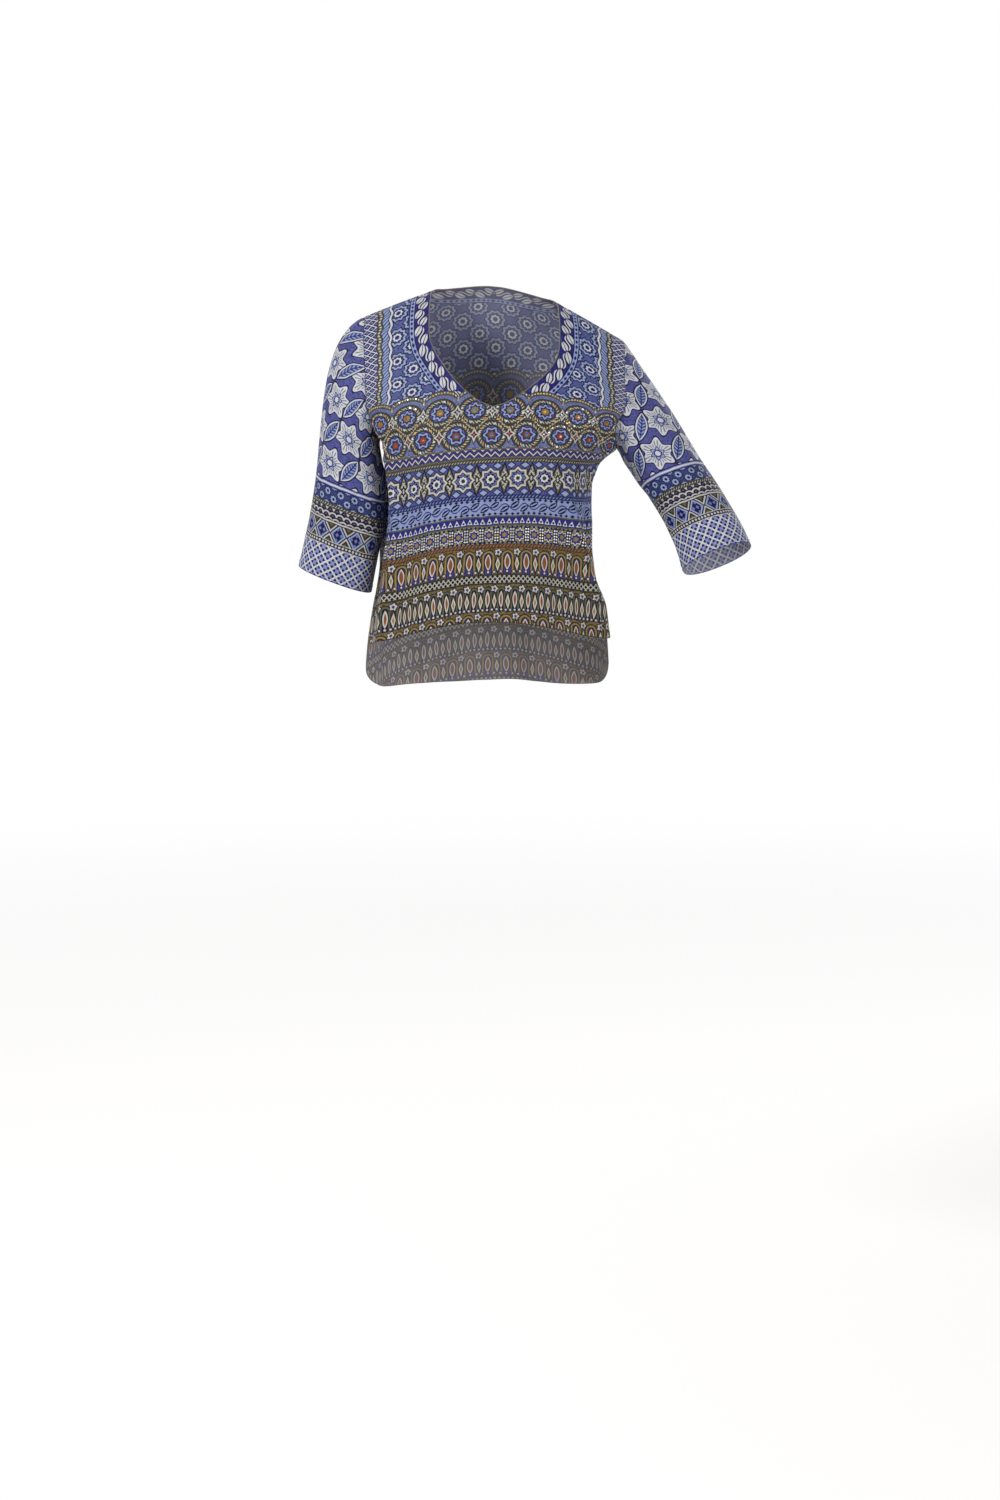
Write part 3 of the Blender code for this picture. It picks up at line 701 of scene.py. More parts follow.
def arc_at(face, angle, run):
    """How far round its ring a point lies from the centre line, + to the wearer's left."""
    runs, angles, arcs = ARCS[face]
    i = np.clip(run / runs[1], 0, len(runs) - 1.001)
    j = np.clip(np.abs(angle) / angles[1], 0, len(angles) - 1.001)
    i0, j0 = i.astype(int), j.astype(int)
    s, t = i - i0, j - j0
    return (
        arcs[i0, j0] * (1 - s) * (1 - t) + arcs[i0 + 1, j0] * s * (1 - t)
        + arcs[i0, j0 + 1] * (1 - s) * t + arcs[i0 + 1, j0 + 1] * s * t
    )


# Print heights are measured down from the front neckline's lowest point.
PRINT_ZERO = run_at(NECK_FRONT[0][0])


def panel_sheet(name):
    """Everything that the shell of a panel needs."""
    panel = PANELS[name]
    face = panel["face"]
    halves = [half_panel(panel, side) for side in (RIGHT, LEFT)]
    hem = panel["hem_rows"] + SIDE_ROWS
    outs, middles = [], []
    for half, side in zip(halves, (RIGHT, LEFT)):
        out = body_normal(*half)
        seam = armhole_seam(side)["out"]
        ring = np.concatenate([seam, seam[:1]])
        count = out.shape[0] - hem
        out[hem:, -1] = ring[:count][::-1] if face == FRONT else ring[-count:]
        outs.append(out)
        middles.append(body_point(*half))
    necks = [middle[-UPPER_ARMHOLE_ROWS - 1:, 0] for middle in middles]
    hems = [np.concatenate([middle[0], middle[:panel["hem_rows"] + 1, -1]]) for middle in middles]
    armholes = [middle[hem:, -1] for middle in middles]
    sides = [middle[panel["hem_rows"]:hem + 1, -1] for middle in middles]
    shoulders = [middle[-1] for middle in middles]
    points = np.concatenate([middle.reshape(-1, 3) for middle in middles])
    neck, along_neck = nearest(points, necks)
    turned, arm = nearest(points, hems)[0], nearest(points, armholes)[0]
    seam = np.minimum(arm, nearest(points, sides + shoulders)[0])
    edge_near = np.minimum(neck, turned)
    angle = np.concatenate([half[0].ravel() for half in halves])
    run = np.concatenate([half[1].ravel() for half in halves])
    rows, count = halves[0][0].shape
    first = np.arange(rows * count).reshape(rows, count)
    second = first + rows * count
    shared = rows - UPPER_ARMHOLE_ROWS
    second[:shared, 0] = first[:shared, 0]
    blocks = [first[:, ::-1], second]
    if face == BACK:
        blocks = [block[:, ::-1] for block in blocks]
    return {
        "points": points,
        "out": np.concatenate([out.reshape(-1, 3) for out in outs]),
        "print": np.stack([arc_at(face, angle, run), (run - PRINT_ZERO) * 1000, neck * 1000], -1),
        "edges": np.stack([edge_near, seam, arm], -1) * 1000,
        "along_neck": along_neck * 1000,
        "blocks": blocks,
        "weld": np.arange(len(points)),
    }


def sleeve_sheet(table, side, creases):
    """Everything that the shell of a sleeve needs."""
    grid, seam, down = sleeve_grid(table, side, creases)
    out = tube_normals(grid, side)
    out[0] = seam["out"]
    rows, count = grid.shape[:2]
    wrap = np.arange(count + 1) % count
    girth = np.linalg.norm(grid - np.roll(grid, 1, axis=1), axis=2).sum(axis=1).mean() * 1000
    around = np.tile(np.append(seam["share"], 1.0) * girth * side, rows)
    along, left = down[:, wrap].ravel(), (down[-1] - down)[:, wrap].ravel()
    index = np.arange(rows * (count + 1)).reshape(rows, count + 1)
    return {
        "points": grid[:, wrap].reshape(-1, 3),
        "out": out[:, wrap].reshape(-1, 3),
        "print": np.stack([around, along, left], -1),
        "grid": grid,
        "side": side,
        "edges": np.stack([left, along, along], -1),
        "blocks": [index[:, ::-1] if side == RIGHT else index],
        "weld": index[:, wrap].ravel(),
    }


# ---------------------------------------------------------------- materials

LIGHT_SHARE = 0.60  # the studio's light makes every colour this much lighter


def linear(red, green, blue):
    """A linear colour from the one that is seen, in 0 to 255."""
    seen = np.array([red, green, blue]) / 255
    light = np.where(seen <= 0.04045, seen / 12.92, ((seen + 0.055) / 1.055) ** 2.4)
    return (*(LIGHT_SHARE * light), 1.0)


NAVY = linear(22, 22, 84)
ROYAL = linear(44, 44, 146)
VIOLET = linear(76, 64, 158)
SLATE = linear(54, 66, 128)
DUSK = linear(80, 96, 162)
PERIWINKLE = linear(136, 144, 216)
PALE = linear(180, 197, 238)
CREAM = linear(238, 234, 220)
WHITE = linear(250, 250, 252)
OLIVE = linear(114, 110, 90)
BRONZE = linear(62, 58, 46)
OCHRE = linear(178, 148, 80)
RUST = linear(158, 90, 60)
INK = linear(10, 10, 40)
WRONG_SIDE = linear(226, 222, 232)

# The print in millimetres: the pitches of its rings and flowers, where the rows
# below start and their pitch, and how much lower it lies for each millimetre
# towards the wearer's left. Then the least angle between a stone and an edge.
RING_PITCH = 46.0
BLOOM_PITCH = 20.0
LOW_ROWS_TOP = 191.0
LOW_ROWS_PITCH = 84.0
PRINT_SLOPE = 0.03
CLEAR_OF_EDGE = 2.0

# Stones and beads, across in millimetres: in the hearts of the rings, between the
# rings, round them, along the arches below, on the ochre band, and every bead.
HEART_STONE = 4.6
BETWEEN_STONE = 3.6
RING_STONE = 3.2
ARCH_STONE = 3.0
BAND_STONE = 2.5
BEAD = 2.0

# Stitches round the hems and cuffs, how far in degrees they keep off a slit, the
# roll round the neckline, and the step from facet to facet of a stone in the
# painted shade and painted glint that each facet gets in place of reflections.
STITCH_LENGTH = 0.0022
STITCH_PITCH = 0.0031
STITCH_INSET = 0.0068
SLIT_STITCH_TURN = 3.3
ROLL_RADIUS = 0.00075
ROLL_SIDES = 8
FACET_GLINT_STEP = 0.381966

# The cloth's bump, how much light comes through it, and how pale its wrong side is
BUMP_DISTANCE = 0.0002
SHOW_THROUGH = 0.38
WRONG_SIDE_SHARE = 0.34

# The studio: light from all round, the floor and where its paper fades to white,
# the camera with its lens in millimetres, and the lights.
AMBIENT = 0.44
FLOOR_TONE = (0.66, 0.652, 0.648)
FLOOR_SIZE = 60.0
FLOOR_LEVEL = -1.49
FLOOR_FADE = (0.6, 4.5)
LENS, SENSOR, FARTHEST = 85.0, 36.0, 100.0
CAMERA_PLACE = (0.0, -4.745, 0.170)
CAMERA_TARGET = (0.0073, 0.0, -0.6085)
LIGHT_TARGET = (0.0, 0.0, -0.25)
LIGHTS = (  # name, place, size in metres, watts
    ("key", (-2.9, -2.6, 2.2), 1.3, 225.0),
    ("fill", (2.8, -3.0, -0.1), 2.2, 95.0),
    ("rear_left", (-1.6, 3.0, 2.0), 1.8, 85.0),
    ("rear_right", (2.2, 2.6, 1.2), 1.8, 70.0),
)


def operation(kind, swapped=False):
    """A sum's method, which adds a math node."""
    def apply(a, b):
        return a.graph.math(kind, *((b, a) if swapped else (a, b)))
    return apply


class Num:
    """A number in a material's nodes, which sums can be written with."""

    def __init__(self, graph, socket):
        self.graph, self.socket = graph, socket

    __add__ = __radd__ = operation("ADD")
    __mul__ = __rmul__ = operation("MULTIPLY")
    __sub__, __rsub__ = operation("SUBTRACT"), operation("SUBTRACT", True)
    __truediv__ = operation("DIVIDE")

    def __neg__(self):
        return self * -1.0

    def __abs__(self):
        return self.graph.math("ABSOLUTE", self)


class Graph:
    """The nodes of one material."""

    def __init__(self, name):
        self.material = bpy.data.materials.new(name)
        self.material.use_nodes = True
        self.tree = self.material.node_tree
        self.tree.nodes.clear()

    def node(self, kind, inputs=(), **settings):
        """A node with its settings, and its inputs by name or number: values or sockets."""
        node = self.tree.nodes.new(kind)
        for name, value in settings.items():
            setattr(node, name, value)
        for place, value in dict(inputs).items():
            value = getattr(value, "socket", value)
            if isinstance(value, bpy.types.NodeSocket):
                self.tree.links.new(value, node.inputs[place])
            else:
                node.inputs[place].default_value = value
        return node

    def read(self, output, kind, inputs=(), **settings):
        """One output of a new node."""
        return Num(self, self.node(kind, inputs, **settings).outputs[output])

    def finish(self, shader):
        self.node("ShaderNodeOutputMaterial", {0: shader.outputs[0]})
        return self.material

    def principled(self, colour, roughness, height=None, strength=0.0, **inputs):
        """A Principled shader, with bump where there is a height."""
        named = {name.replace("_", " "): value for name, value in inputs.items()}
        named |= {"Base Color": colour.value, "Roughness": roughness}
        if height:
            bump = {"Strength": strength, "Distance": BUMP_DISTANCE, "Height": height}
            named["Normal"] = self.read(0, "ShaderNodeBump", bump)
        return self.node("ShaderNodeBsdfPrincipled", named)

    def math(self, kind, *values, clamp=False):
        return self.read(0, "ShaderNodeMath", enumerate(values), operation=kind, use_clamp=clamp)

    def low(self, a, b):
        return self.math("MINIMUM", a, b)

    def high(self, a, b):
        return self.math("MAXIMUM", a, b)

    def near(self, x, period):
        """The distance from x to the nearest multiple of the period."""
        return self.math("PINGPONG", x, period / 2)

    def cell(self, x, period):
        """x counted from the nearest multiple of the period."""
        return self.math("WRAP", x, period / 2, -period / 2)

    def odd(self, x, period):
        """0 in even cells of x and 1 in odd ones."""
        index = self.math("FLOOR", self.math("MULTIPLY_ADD", x, 1 / period, 0.5))
        return self.math("MODULO", abs(index), 2.0)

    def length(self, x, y):
        return self.math("SQRT", self.math("MULTIPLY_ADD", x, x, y * y))

    def turn(self, x, y):
        return self.math("ARCTAN2", y, x)

    def fill(self, distance, reach=0.0, soft=0.22):
        """1 where a distance is below the reach, with a soft edge."""
        return self.math("MULTIPLY_ADD", distance, -0.5 / soft, 0.5 + reach * 0.5 / soft, clamp=True)

    def line(self, distance, width, soft=0.22):
        return self.fill(abs(distance), width / 2, soft)

    def attribute(self, name, output="Fac"):
        kind = {"attribute_type": "GEOMETRY", "attribute_name": name}
        return self.read(output, "ShaderNodeAttribute", **kind)

    def parts(self, vector):
        """The three numbers of a vector."""
        split = self.node("ShaderNodeSeparateXYZ", {0: vector})
        return [Num(self, out) for out in split.outputs]

    def noise(self, place, scale, detail=1.0, rough=0.5):
        inputs = {"Vector": place, "Scale": scale, "Detail": detail, "Roughness": rough}
        return self.read("Fac", "ShaderNodeTexNoise", inputs)

    def bands(self, place, scale, distortion, direction, detail=2.0):
        inputs = {"Vector": place, "Scale": scale, "Distortion": distortion, "Detail": detail}
        return self.read("Fac", "ShaderNodeTexWave", inputs, bands_direction=direction)


class Paint:
    """A colour that more is painted over, one mask at a time."""

    def __init__(self, graph, ground):
        self.graph, self.value = graph, ground

    def over(self, colour, mask):
        inputs = {0: mask, 6: self.value, 7: getattr(colour, "value", colour)}
        self.value = self.graph.read(2, "ShaderNodeMix", inputs, data_type="RGBA")
        return self

    def grow(self, distance, *rings):
        """Each ring is a reach and the colour of what lies within it, the widest first."""
        for reach, colour in rings:
            self.over(colour, self.graph.fill(distance, reach))
        return self


def diamond(g, x, y, wide, high):
    """Distance out of a diamond, from its half width and half height."""
    size = math.hypot(wide, high)
    ahead = g.math("MULTIPLY_ADD", abs(x), high / size, abs(y) * (wide / size))
    return ahead - wide * high / size


def dots(g, x, y, period):
    """Distance from the middles of a row of dots along y = 0."""
    return g.length(g.cell(x, period), y)


def lozenges(g, x, y, period, wide, high):
    """Distance out of a row of diamonds along y = 0."""
    return diamond(g, g.cell(x, period), y, wide, high)


def star8(g, x, y):
    """Distance from the middle of an eight-pointed star, two squares turned over each other."""
    x, y = abs(x), abs(y)
    return g.low(g.high(x, y), (x + y) * 0.7071)


def rosette(g, x, y, petals, depth, phase=0.0):
    """Distance from the middle of a flower with round petals, which depth makes deeper."""
    wave = g.math("COSINE", g.math("MULTIPLY_ADD", g.turn(x, y), float(petals), phase))
    return g.length(x, y) * g.math("MULTIPLY_ADD", wave, -depth, 1.0)


def leaf(g, x, y, long, wide):
    """Distance out of a pointed leaf that lies along y."""
    bend = (long * long - wide * wide) / (2 * wide)
    return g.length(abs(x) + bend, y) - (bend + wide)


def rope(g, x, y, high, twist=4.0, light=CREAM, body=OLIVE, dark=BRONZE):
    """A twisted cord along x, centred on y = 0, as a Paint."""
    strand = g.cell(g.math("MULTIPLY_ADD", y, 0.9, x), twist)
    paint = Paint(g, body)
    paint.over(dark, g.line(strand, twist * 0.40))
    paint.over(light, g.fill(g.length(strand - twist * 0.5, y), high * 0.20))
    paint.over(dark, g.fill(high / 2 - 0.7 - abs(y)))
    return paint


class Fillings:
    """The fine drawing that every ground has: dark, middle and light curls."""

    def __init__(self, g, place):
        self.graph = g
        curls = ((0.20, 0.080), (0.30, 0.060), (0.42, 0.050))
        self.dark, self.mid, self.light = (
            g.fill(abs(g.noise(place, scale, 1.5) - 0.5), width, 0.5 * scale / 1.4)
            for scale, width in curls
        )

    def on(self, ground, dark, mid, light=None):
        """A ground colour with the curls on it, as a Paint."""
        paint = Paint(self.graph, ground).over(dark, self.dark * 0.9).over(mid, self.mid)
        return paint.over(light, self.light * 0.9) if light else paint


def diaper(g, x, y, period, fills, ground, line):
    """Crossed pale lines over deep lozenges, each with an eye."""
    paint = fills.on(ground, NAVY, ROYAL)
    ahead, behind = g.near(x + y * 1.2, period), g.near(x - y * 1.2, period)
    eye = g.high(period / 2 - ahead, period / 2 - behind)
    paint.grow(eye, (period * 0.30, NAVY), (period * 0.20, PERIWINKLE))
    return paint.grow(g.low(ahead, behind), (line + 0.8, NAVY), (line, WHITE))


def yoke(g, x, y, neck, along, arm, fills):
    """The top: medallions on slate, a vine along the neck, stripes by the armholes."""
    paint = fills.on(SLATE, NAVY, DUSK, PERIWINKLE)
    for shift, lift in ((0.0, 0.0), (22.0, 20.0)):
        sx, sy = g.cell(x - shift, 44.0), g.cell(y + 58.0 - lift, 40.0)
        bloom = rosette(g, sx, sy, 10, 0.09)
        paint.grow(bloom, (14.6, NAVY), (12.8, PALE), (9.6, NAVY), (8.4, DUSK))
        paint.grow(star8(g, sx, sy), (6.4, NAVY), (5.0, WHITE), (2.8, ROYAL))
    # By the armholes a diaper, a corded border and a slanted stripe.
    within = arm - 23.0 - g.math("SINE", y * 0.30) * 1.2
    stripe = Paint(g, PALE).over(DUSK, g.line(g.cell(y + within * 0.8, 5.6), 2.4))
    paint.over(stripe, g.fill(within, 15.0))
    paint.grow(abs(within - 15.0), (2.8, NAVY), (1.5, WHITE))
    paint.over(diaper(g, x, y, 13.0, fills, VIOLET, 1.1), g.fill(within))
    paint.grow(abs(within), (4.2, BRONZE), (2.8, OLIVE))
    paint.grow(dots(g, y, within, 5.0), (2.2, BRONZE), (1.6, CREAM))
    # A leaf vine that follows the neckline, between cords.
    vine = fills.on(VIOLET, NAVY, ROYAL)
    middle = neck - 11.0
    stem = g.math("SINE", along * (2 * math.pi / 26.0)) * 3.6
    vine.grow(abs(middle - stem), (1.8, NAVY), (1.0, WHITE))
    for shift, lift in ((6.5, 3.6), (19.5, -3.6)):
        ly, lx = g.cell(along - shift, 26.0), middle + lift
        lean = lx * 0.85 + ly * 0.5
        vine.grow(leaf(g, lean, ly * 0.85 - lx * 0.5, 8.4, 3.8), (1.5, NAVY), (0.0, WHITE))
        vine.over(DUSK, g.line(lean, 1.1))
    paint.over(vine, g.fill(neck, 21.0))
    paint.grow(abs(neck - 23.5), (4.2, NAVY), (2.8, PALE))
    return paint.grow(lozenges(g, along, neck - 23.5, 7.0, 2.9, 2.2), (0.0, ROYAL))


def cord(g, paint, away, twist, edge, body, light):
    """A twisted cord at the distance 0, with the reach of its dark edge and of its body."""
    strand = -g.math("SINE", twist)
    paint.grow(away, (edge, BRONZE))
    paint.over(OLIVE, g.fill(strand, 0.4, 0.4) * g.fill(away, body))
    paint.over(CREAM, g.fill(strand, light, 0.3) * g.fill(away, 1.6))


def bust(g, x, y, fills):
    """Rows of round flowers in corded rings, with a waving cord between them."""
    paint = fills.on(ROYAL, NAVY, VIOLET, PALE)
    for centre, shift, size, petals, middle in (
        (5.0, 23.0, 15.5, 8, OCHRE), (41.0, 0.0, 14.5, 6, RUST),
    ):
        cx, cy = g.cell(x - shift, RING_PITCH), y - centre
        reach, around = g.length(cx, cy), g.turn(cx, cy)
        paint.grow(reach, (size + 6.8, BRONZE), (size + 5.0, OLIVE))
        twist = g.math("MULTIPLY_ADD", around, round(size * 1.7), reach * 1.2)
        cord(g, paint, abs(reach - size - 1.8), twist, 2.9, 2.4, -0.5)
        paint.over(NAVY, g.fill(reach, size - 1.4))
        paint.over(PERIWINKLE, g.fill(reach, size - 2.4) * g.high(fills.mid, 0.25))
        flower = rosette(g, cx, cy, petals, 0.16)
        paint.grow(flower, (size * 0.76, NAVY), (size * 0.66, PALE), (size * 0.50, VIOLET))
        paint.over(NAVY, g.fill(flower, size * 0.46) * fills.mid)
        paint.grow(star8(g, cx, cy), (size * 0.32, BRONZE), (size * 0.26, middle))
    # The waving cord, with a lozenge in each of its bays.
    wave = abs(y - 23.0 + g.math("COSINE", x * (2 * math.pi / RING_PITCH)) * 8.0)
    cord(g, paint, wave, g.math("MULTIPLY_ADD", x, 1.9, wave * 1.3), 3.4, 2.6, -0.6)
    for centre, shift in ((40.0, 23.0), (6.5, 0.0)):
        gx, gy = g.cell(x - shift, RING_PITCH), y - centre
        bay = g.low(diamond(g, gx, gy, 7.0, 4.2), diamond(g, gx, gy, 3.4, 8.8))
        paint.grow(bay, (2.0, BRONZE), (0.8, CREAM), (-1.0, NAVY))
    return paint


def arches(g, x, down, fills, tall, period, ground, head, niche):
    """A row of round-headed niches with a leaf in each, as a Paint."""
    paint = fills.on(ground, INK, OCHRE)
    wide = period * 0.36
    px = g.cell(x, period)
    arch = g.length(px, g.low(down - wide - 3.0, 0.0))
    paint.grow(arch, (wide + 0.6, BRONZE), (wide - 1.0, head), (wide - 3.2, INK), (wide - 4.2, niche))
    blade = leaf(g, px, down - tall * 0.55, tall * 0.32, wide * 0.46)
    paint.grow(blade, (1.3, INK), (0.0, CREAM), (-1.5, RUST))
    qx = g.cell(x - period / 2, period)
    bud = rosette(g, qx, down - 5.6, 5, 0.2)
    paint.grow(bud, (5.0, INK), (3.8, CREAM), (1.8, VIOLET))
    gem = diamond(g, qx, down - tall * 0.62, 3.0, tall * 0.28)
    paint.grow(gem, (1.4, INK), (0.0, CREAM), (-1.4, OCHRE))
    return paint.grow(dots(g, x, down - tall + 2.8, period / 3), (2.4, NAVY), (1.4, CREAM))


def low_rows(g, x, y, fills):
    """Niches, network and smaller niches, over and over down to the hem."""
    y = g.math("MODULO", y, LOW_ROWS_PITCH)
    paint = arches(g, x, y, fills, 34.0, 25.0, BRONZE, OCHRE, VIOLET)
    network = Paint(g, OLIVE)
    net = g.low(g.near(x * 1.1 + y, 6.8), g.near(x * 1.1 - y, 6.8))
    network.over(INK, g.fill(-net, -1.5)).over(CREAM, g.fill(net, 0.6))
    network.over(BRONZE, g.line(abs(y - 41.0) - 6.0, 2.8))
    paint.over(network, g.fill(-y, -34.0))
    return paint.over(arches(g, x, y - 48.0, fills, 36.0, 18.0, BRONZE, OLIVE, NAVY), g.fill(-y, -48.0))


def body_bands(g, x, y, fills):
    """The bands below the bust, as (first, paint) from the top down, each drawn when asked for."""
    # Fine chevrons on violet.
    paint = Paint(g, NAVY)
    zig = y - 66.5 + g.near(x, 11.0) * 1.0
    paint.over(VIOLET, g.line(g.cell(zig, 7.4), 2.4))
    paint.over(CREAM, g.line(g.cell(zig - 3.7, 7.4), 2.1))
    yield 58.5, paint.over(OLIVE, g.line(abs(y - 66.5) - 6.4, 2.2))
    yield 74.0, rope(g, x, y - 76.8, 5.5)
    # Stars and crosses on violet.
    paint = fills.on(VIOLET, NAVY, ROYAL, PERIWINKLE)
    cy = y - 100.5
    mesh = g.low(g.near(x + cy, 5.6), g.near(x - cy, 5.6))
    sx, kx = g.cell(x, 36.0), g.cell(x - 18.0, 36.0)
    cross = g.low(diamond(g, kx, cy, 6.8, 18.0), diamond(g, kx, cy, 12.0, 7.0))
    paint.grow(cross, (1.8, INK), (0.2, OLIVE))
    paint.over(CREAM, g.fill(mesh, 0.9) * g.fill(cross, -1.0))
    paint.grow(diamond(g, kx, cy, 4.6, 6.6), (0.0, INK), (-1.9, CREAM))
    star = star8(g, sx, cy)
    paint.grow(star, (12.4, BRONZE), (10.8, CREAM), (8.4, INK))
    paint.over(PERIWINKLE, g.fill(mesh, 0.9) * g.fill(star, 7.6))
    paint.grow(star, (5.4, NAVY), (4.3, WHITE), (2.2, BRONZE))
    bud = lozenges(g, x - 9.0, abs(cy) - 17.4, 18.0, 5.0, 3.6)
    yield 79.5, paint.grow(bud, (1.3, NAVY), (0.0, PALE))
    yield 121.5, rope(g, x, y - 124.2, 5.5, 4.6, PALE, DUSK, NAVY)
    # A leaf scroll on a pale stripe.
    paint = Paint(g, PALE).over(PERIWINKLE, fills.mid * 0.5)
    stem = y - 137.5 - g.math("SINE", x * (2 * math.pi / 26.0)) * 4.0
    paint.over(ROYAL, g.line(stem, 1.7))
    for shift, lift in ((6.5, 1.0), (19.5, -1.0)):
        lx, ly = g.cell(x - shift, 26.0), y - 137.5 + lift * 2.8
        rib = ly * 0.85 + lx * 0.5
        paint.over(NAVY, g.fill(leaf(g, rib, lx * 0.85 - ly * 0.5, 6.6, 3.4)))
        paint.over(PALE, g.line(rib, 1.4) * g.fill(g.length(lx, ly), 4.6))
    yield 127.0, paint.grow(lozenges(g, x, abs(y - 137.5) - 8.8, 7.4, 2.7, 2.1), (0.0, NAVY))
    # Small triangles between dark lines.
    row = y - 155.5
    paint = Paint(g, BRONZE).over(ROYAL, g.fill(abs(row), 4.8))
    paint.over(WHITE, g.fill(abs(row), 3.6) * g.fill(g.near(x, 8.6) - (row + 3.6) * 0.5))
    paint.grow(dots(g, x, row - 1.4, 8.6), (1.5, NAVY))
    yield 148.5, paint.over(OLIVE, g.line(abs(row) - 6.0, 1.6))
    # Flowers and beaded uprights on ochre.
    paint = fills.on(OCHRE, BRONZE, CREAM, OLIVE)
    fy = y - 174.0
    bloom = rosette(g, g.cell(x, BLOOM_PITCH), fy, 8, 0.16)
    paint.grow(bloom, (9.0, BRONZE), (7.6, CREAM), (5.6, ROYAL), (2.9, OCHRE))
    gx = g.cell(x - BLOOM_PITCH / 2, BLOOM_PITCH)
    upright = g.high(abs(gx) - 3.4, abs(fy) - 9.4)
    paint.grow(upright, (0.9, BRONZE), (-0.5, INK))
    paint.over(CREAM, g.fill(g.length(abs(gx) - 1.6, g.cell(fy, 3.6)), 1.1) * g.fill(upright, -0.4))
    yield 162.5, paint.grow(dots(g, x, abs(fy) - 10.0, 6.0), (1.6, NAVY))
    yield 185.5, rope(g, x, y - 188.2, 5.5, 4.6, OCHRE, RUST, BRONZE)
    yield LOW_ROWS_TOP, low_rows(g, x, y - LOW_ROWS_TOP, fills)


def place_of(g):
    """The print's place, which printed cloth pulls a little out of true."""
    x, y, z = g.parts(g.attribute("print", "Vector"))
    place = g.read(0, "ShaderNodeCombineXYZ", {0: x, 1: y})
    x = x + (g.noise(place, 0.045) - 0.5) * 2.4
    y = y + (g.noise(place, 0.052) - 0.5) * 2.4
    return place, x, y, z


def crepe(g, place, colour):
    """The cloth's shader: its dull sheen, crinkled weave, paler wrong side and show-through."""
    mottle = g.noise(place, 0.11, 3.0)
    colour.over(INK, g.math("MULTIPLY_ADD", mottle, -0.5, 0.31, clamp=True))
    colour.over(WRONG_SIDE, g.attribute("inside") * WRONG_SIDE_SHARE)
    weave = g.bands(place, 0.95, 0.8, "X", 0.0) * g.bands(place, 0.95, 0.8, "Y", 0.0)
    cloth = g.principled(
        colour, g.math("MULTIPLY_ADD", mottle, 0.3, 0.48, clamp=True),
        g.noise(place, 1.9, 2.0, 0.6) + weave * 0.6, 0.25,
        Specular_IOR_Level=0.22, Sheen_Weight=0.07, Sheen_Roughness=0.35,
    )
    through_it = g.node("ShaderNodeBsdfTranslucent", {"Color": colour.value})
    both = {0: SHOW_THROUGH, 1: cloth.outputs[0], 2: through_it.outputs[0]}
    return g.finish(g.node("ShaderNodeMixShader", both))


def body_cloth(name):
    """The front's or the back's print on crepe, with painted shade along its edges and seams."""
    g = Graph(name)
    place, x, y, neck = place_of(g)
    y = g.math("MULTIPLY_ADD", x, PRINT_SLOPE, y)
    edge_near, seam, arm = g.parts(g.attribute("edges", "Vector"))
    fills = Fillings(g, place)
    along = g.attribute("along_neck")
    total = yoke(g, x, y, neck, along, arm, fills)
    half = RING_PITCH / 2
    away = g.cell(x - half, RING_PITCH)
    arc = g.math("SQRT", g.high(half**2 - away * away, 0.0)) * 0.62
    border = y + 12.0 + arc
    total.over(bust(g, x, y, fills), g.fill(-border))
    total.grow(abs(border), (3.9, BRONZE), (2.7, OLIVE))
    total.grow(dots(g, x, border, 3.83), (1.6, BRONZE), (1.2, CREAM))
    for first, paint in body_bands(g, x, y, fills):
        total.over(paint, g.fill(-y, -first))
    # Painted shade: a dark line along the neck and hem edges, where the cloth turns, and a darker one
    # along the seams, where it dips.
    total.over(BRONZE, g.fill(edge_near, 0.9) * 0.8)
    total.over(INK, g.fill(seam, 0.5) * 0.6)
    return crepe(g, place, total)


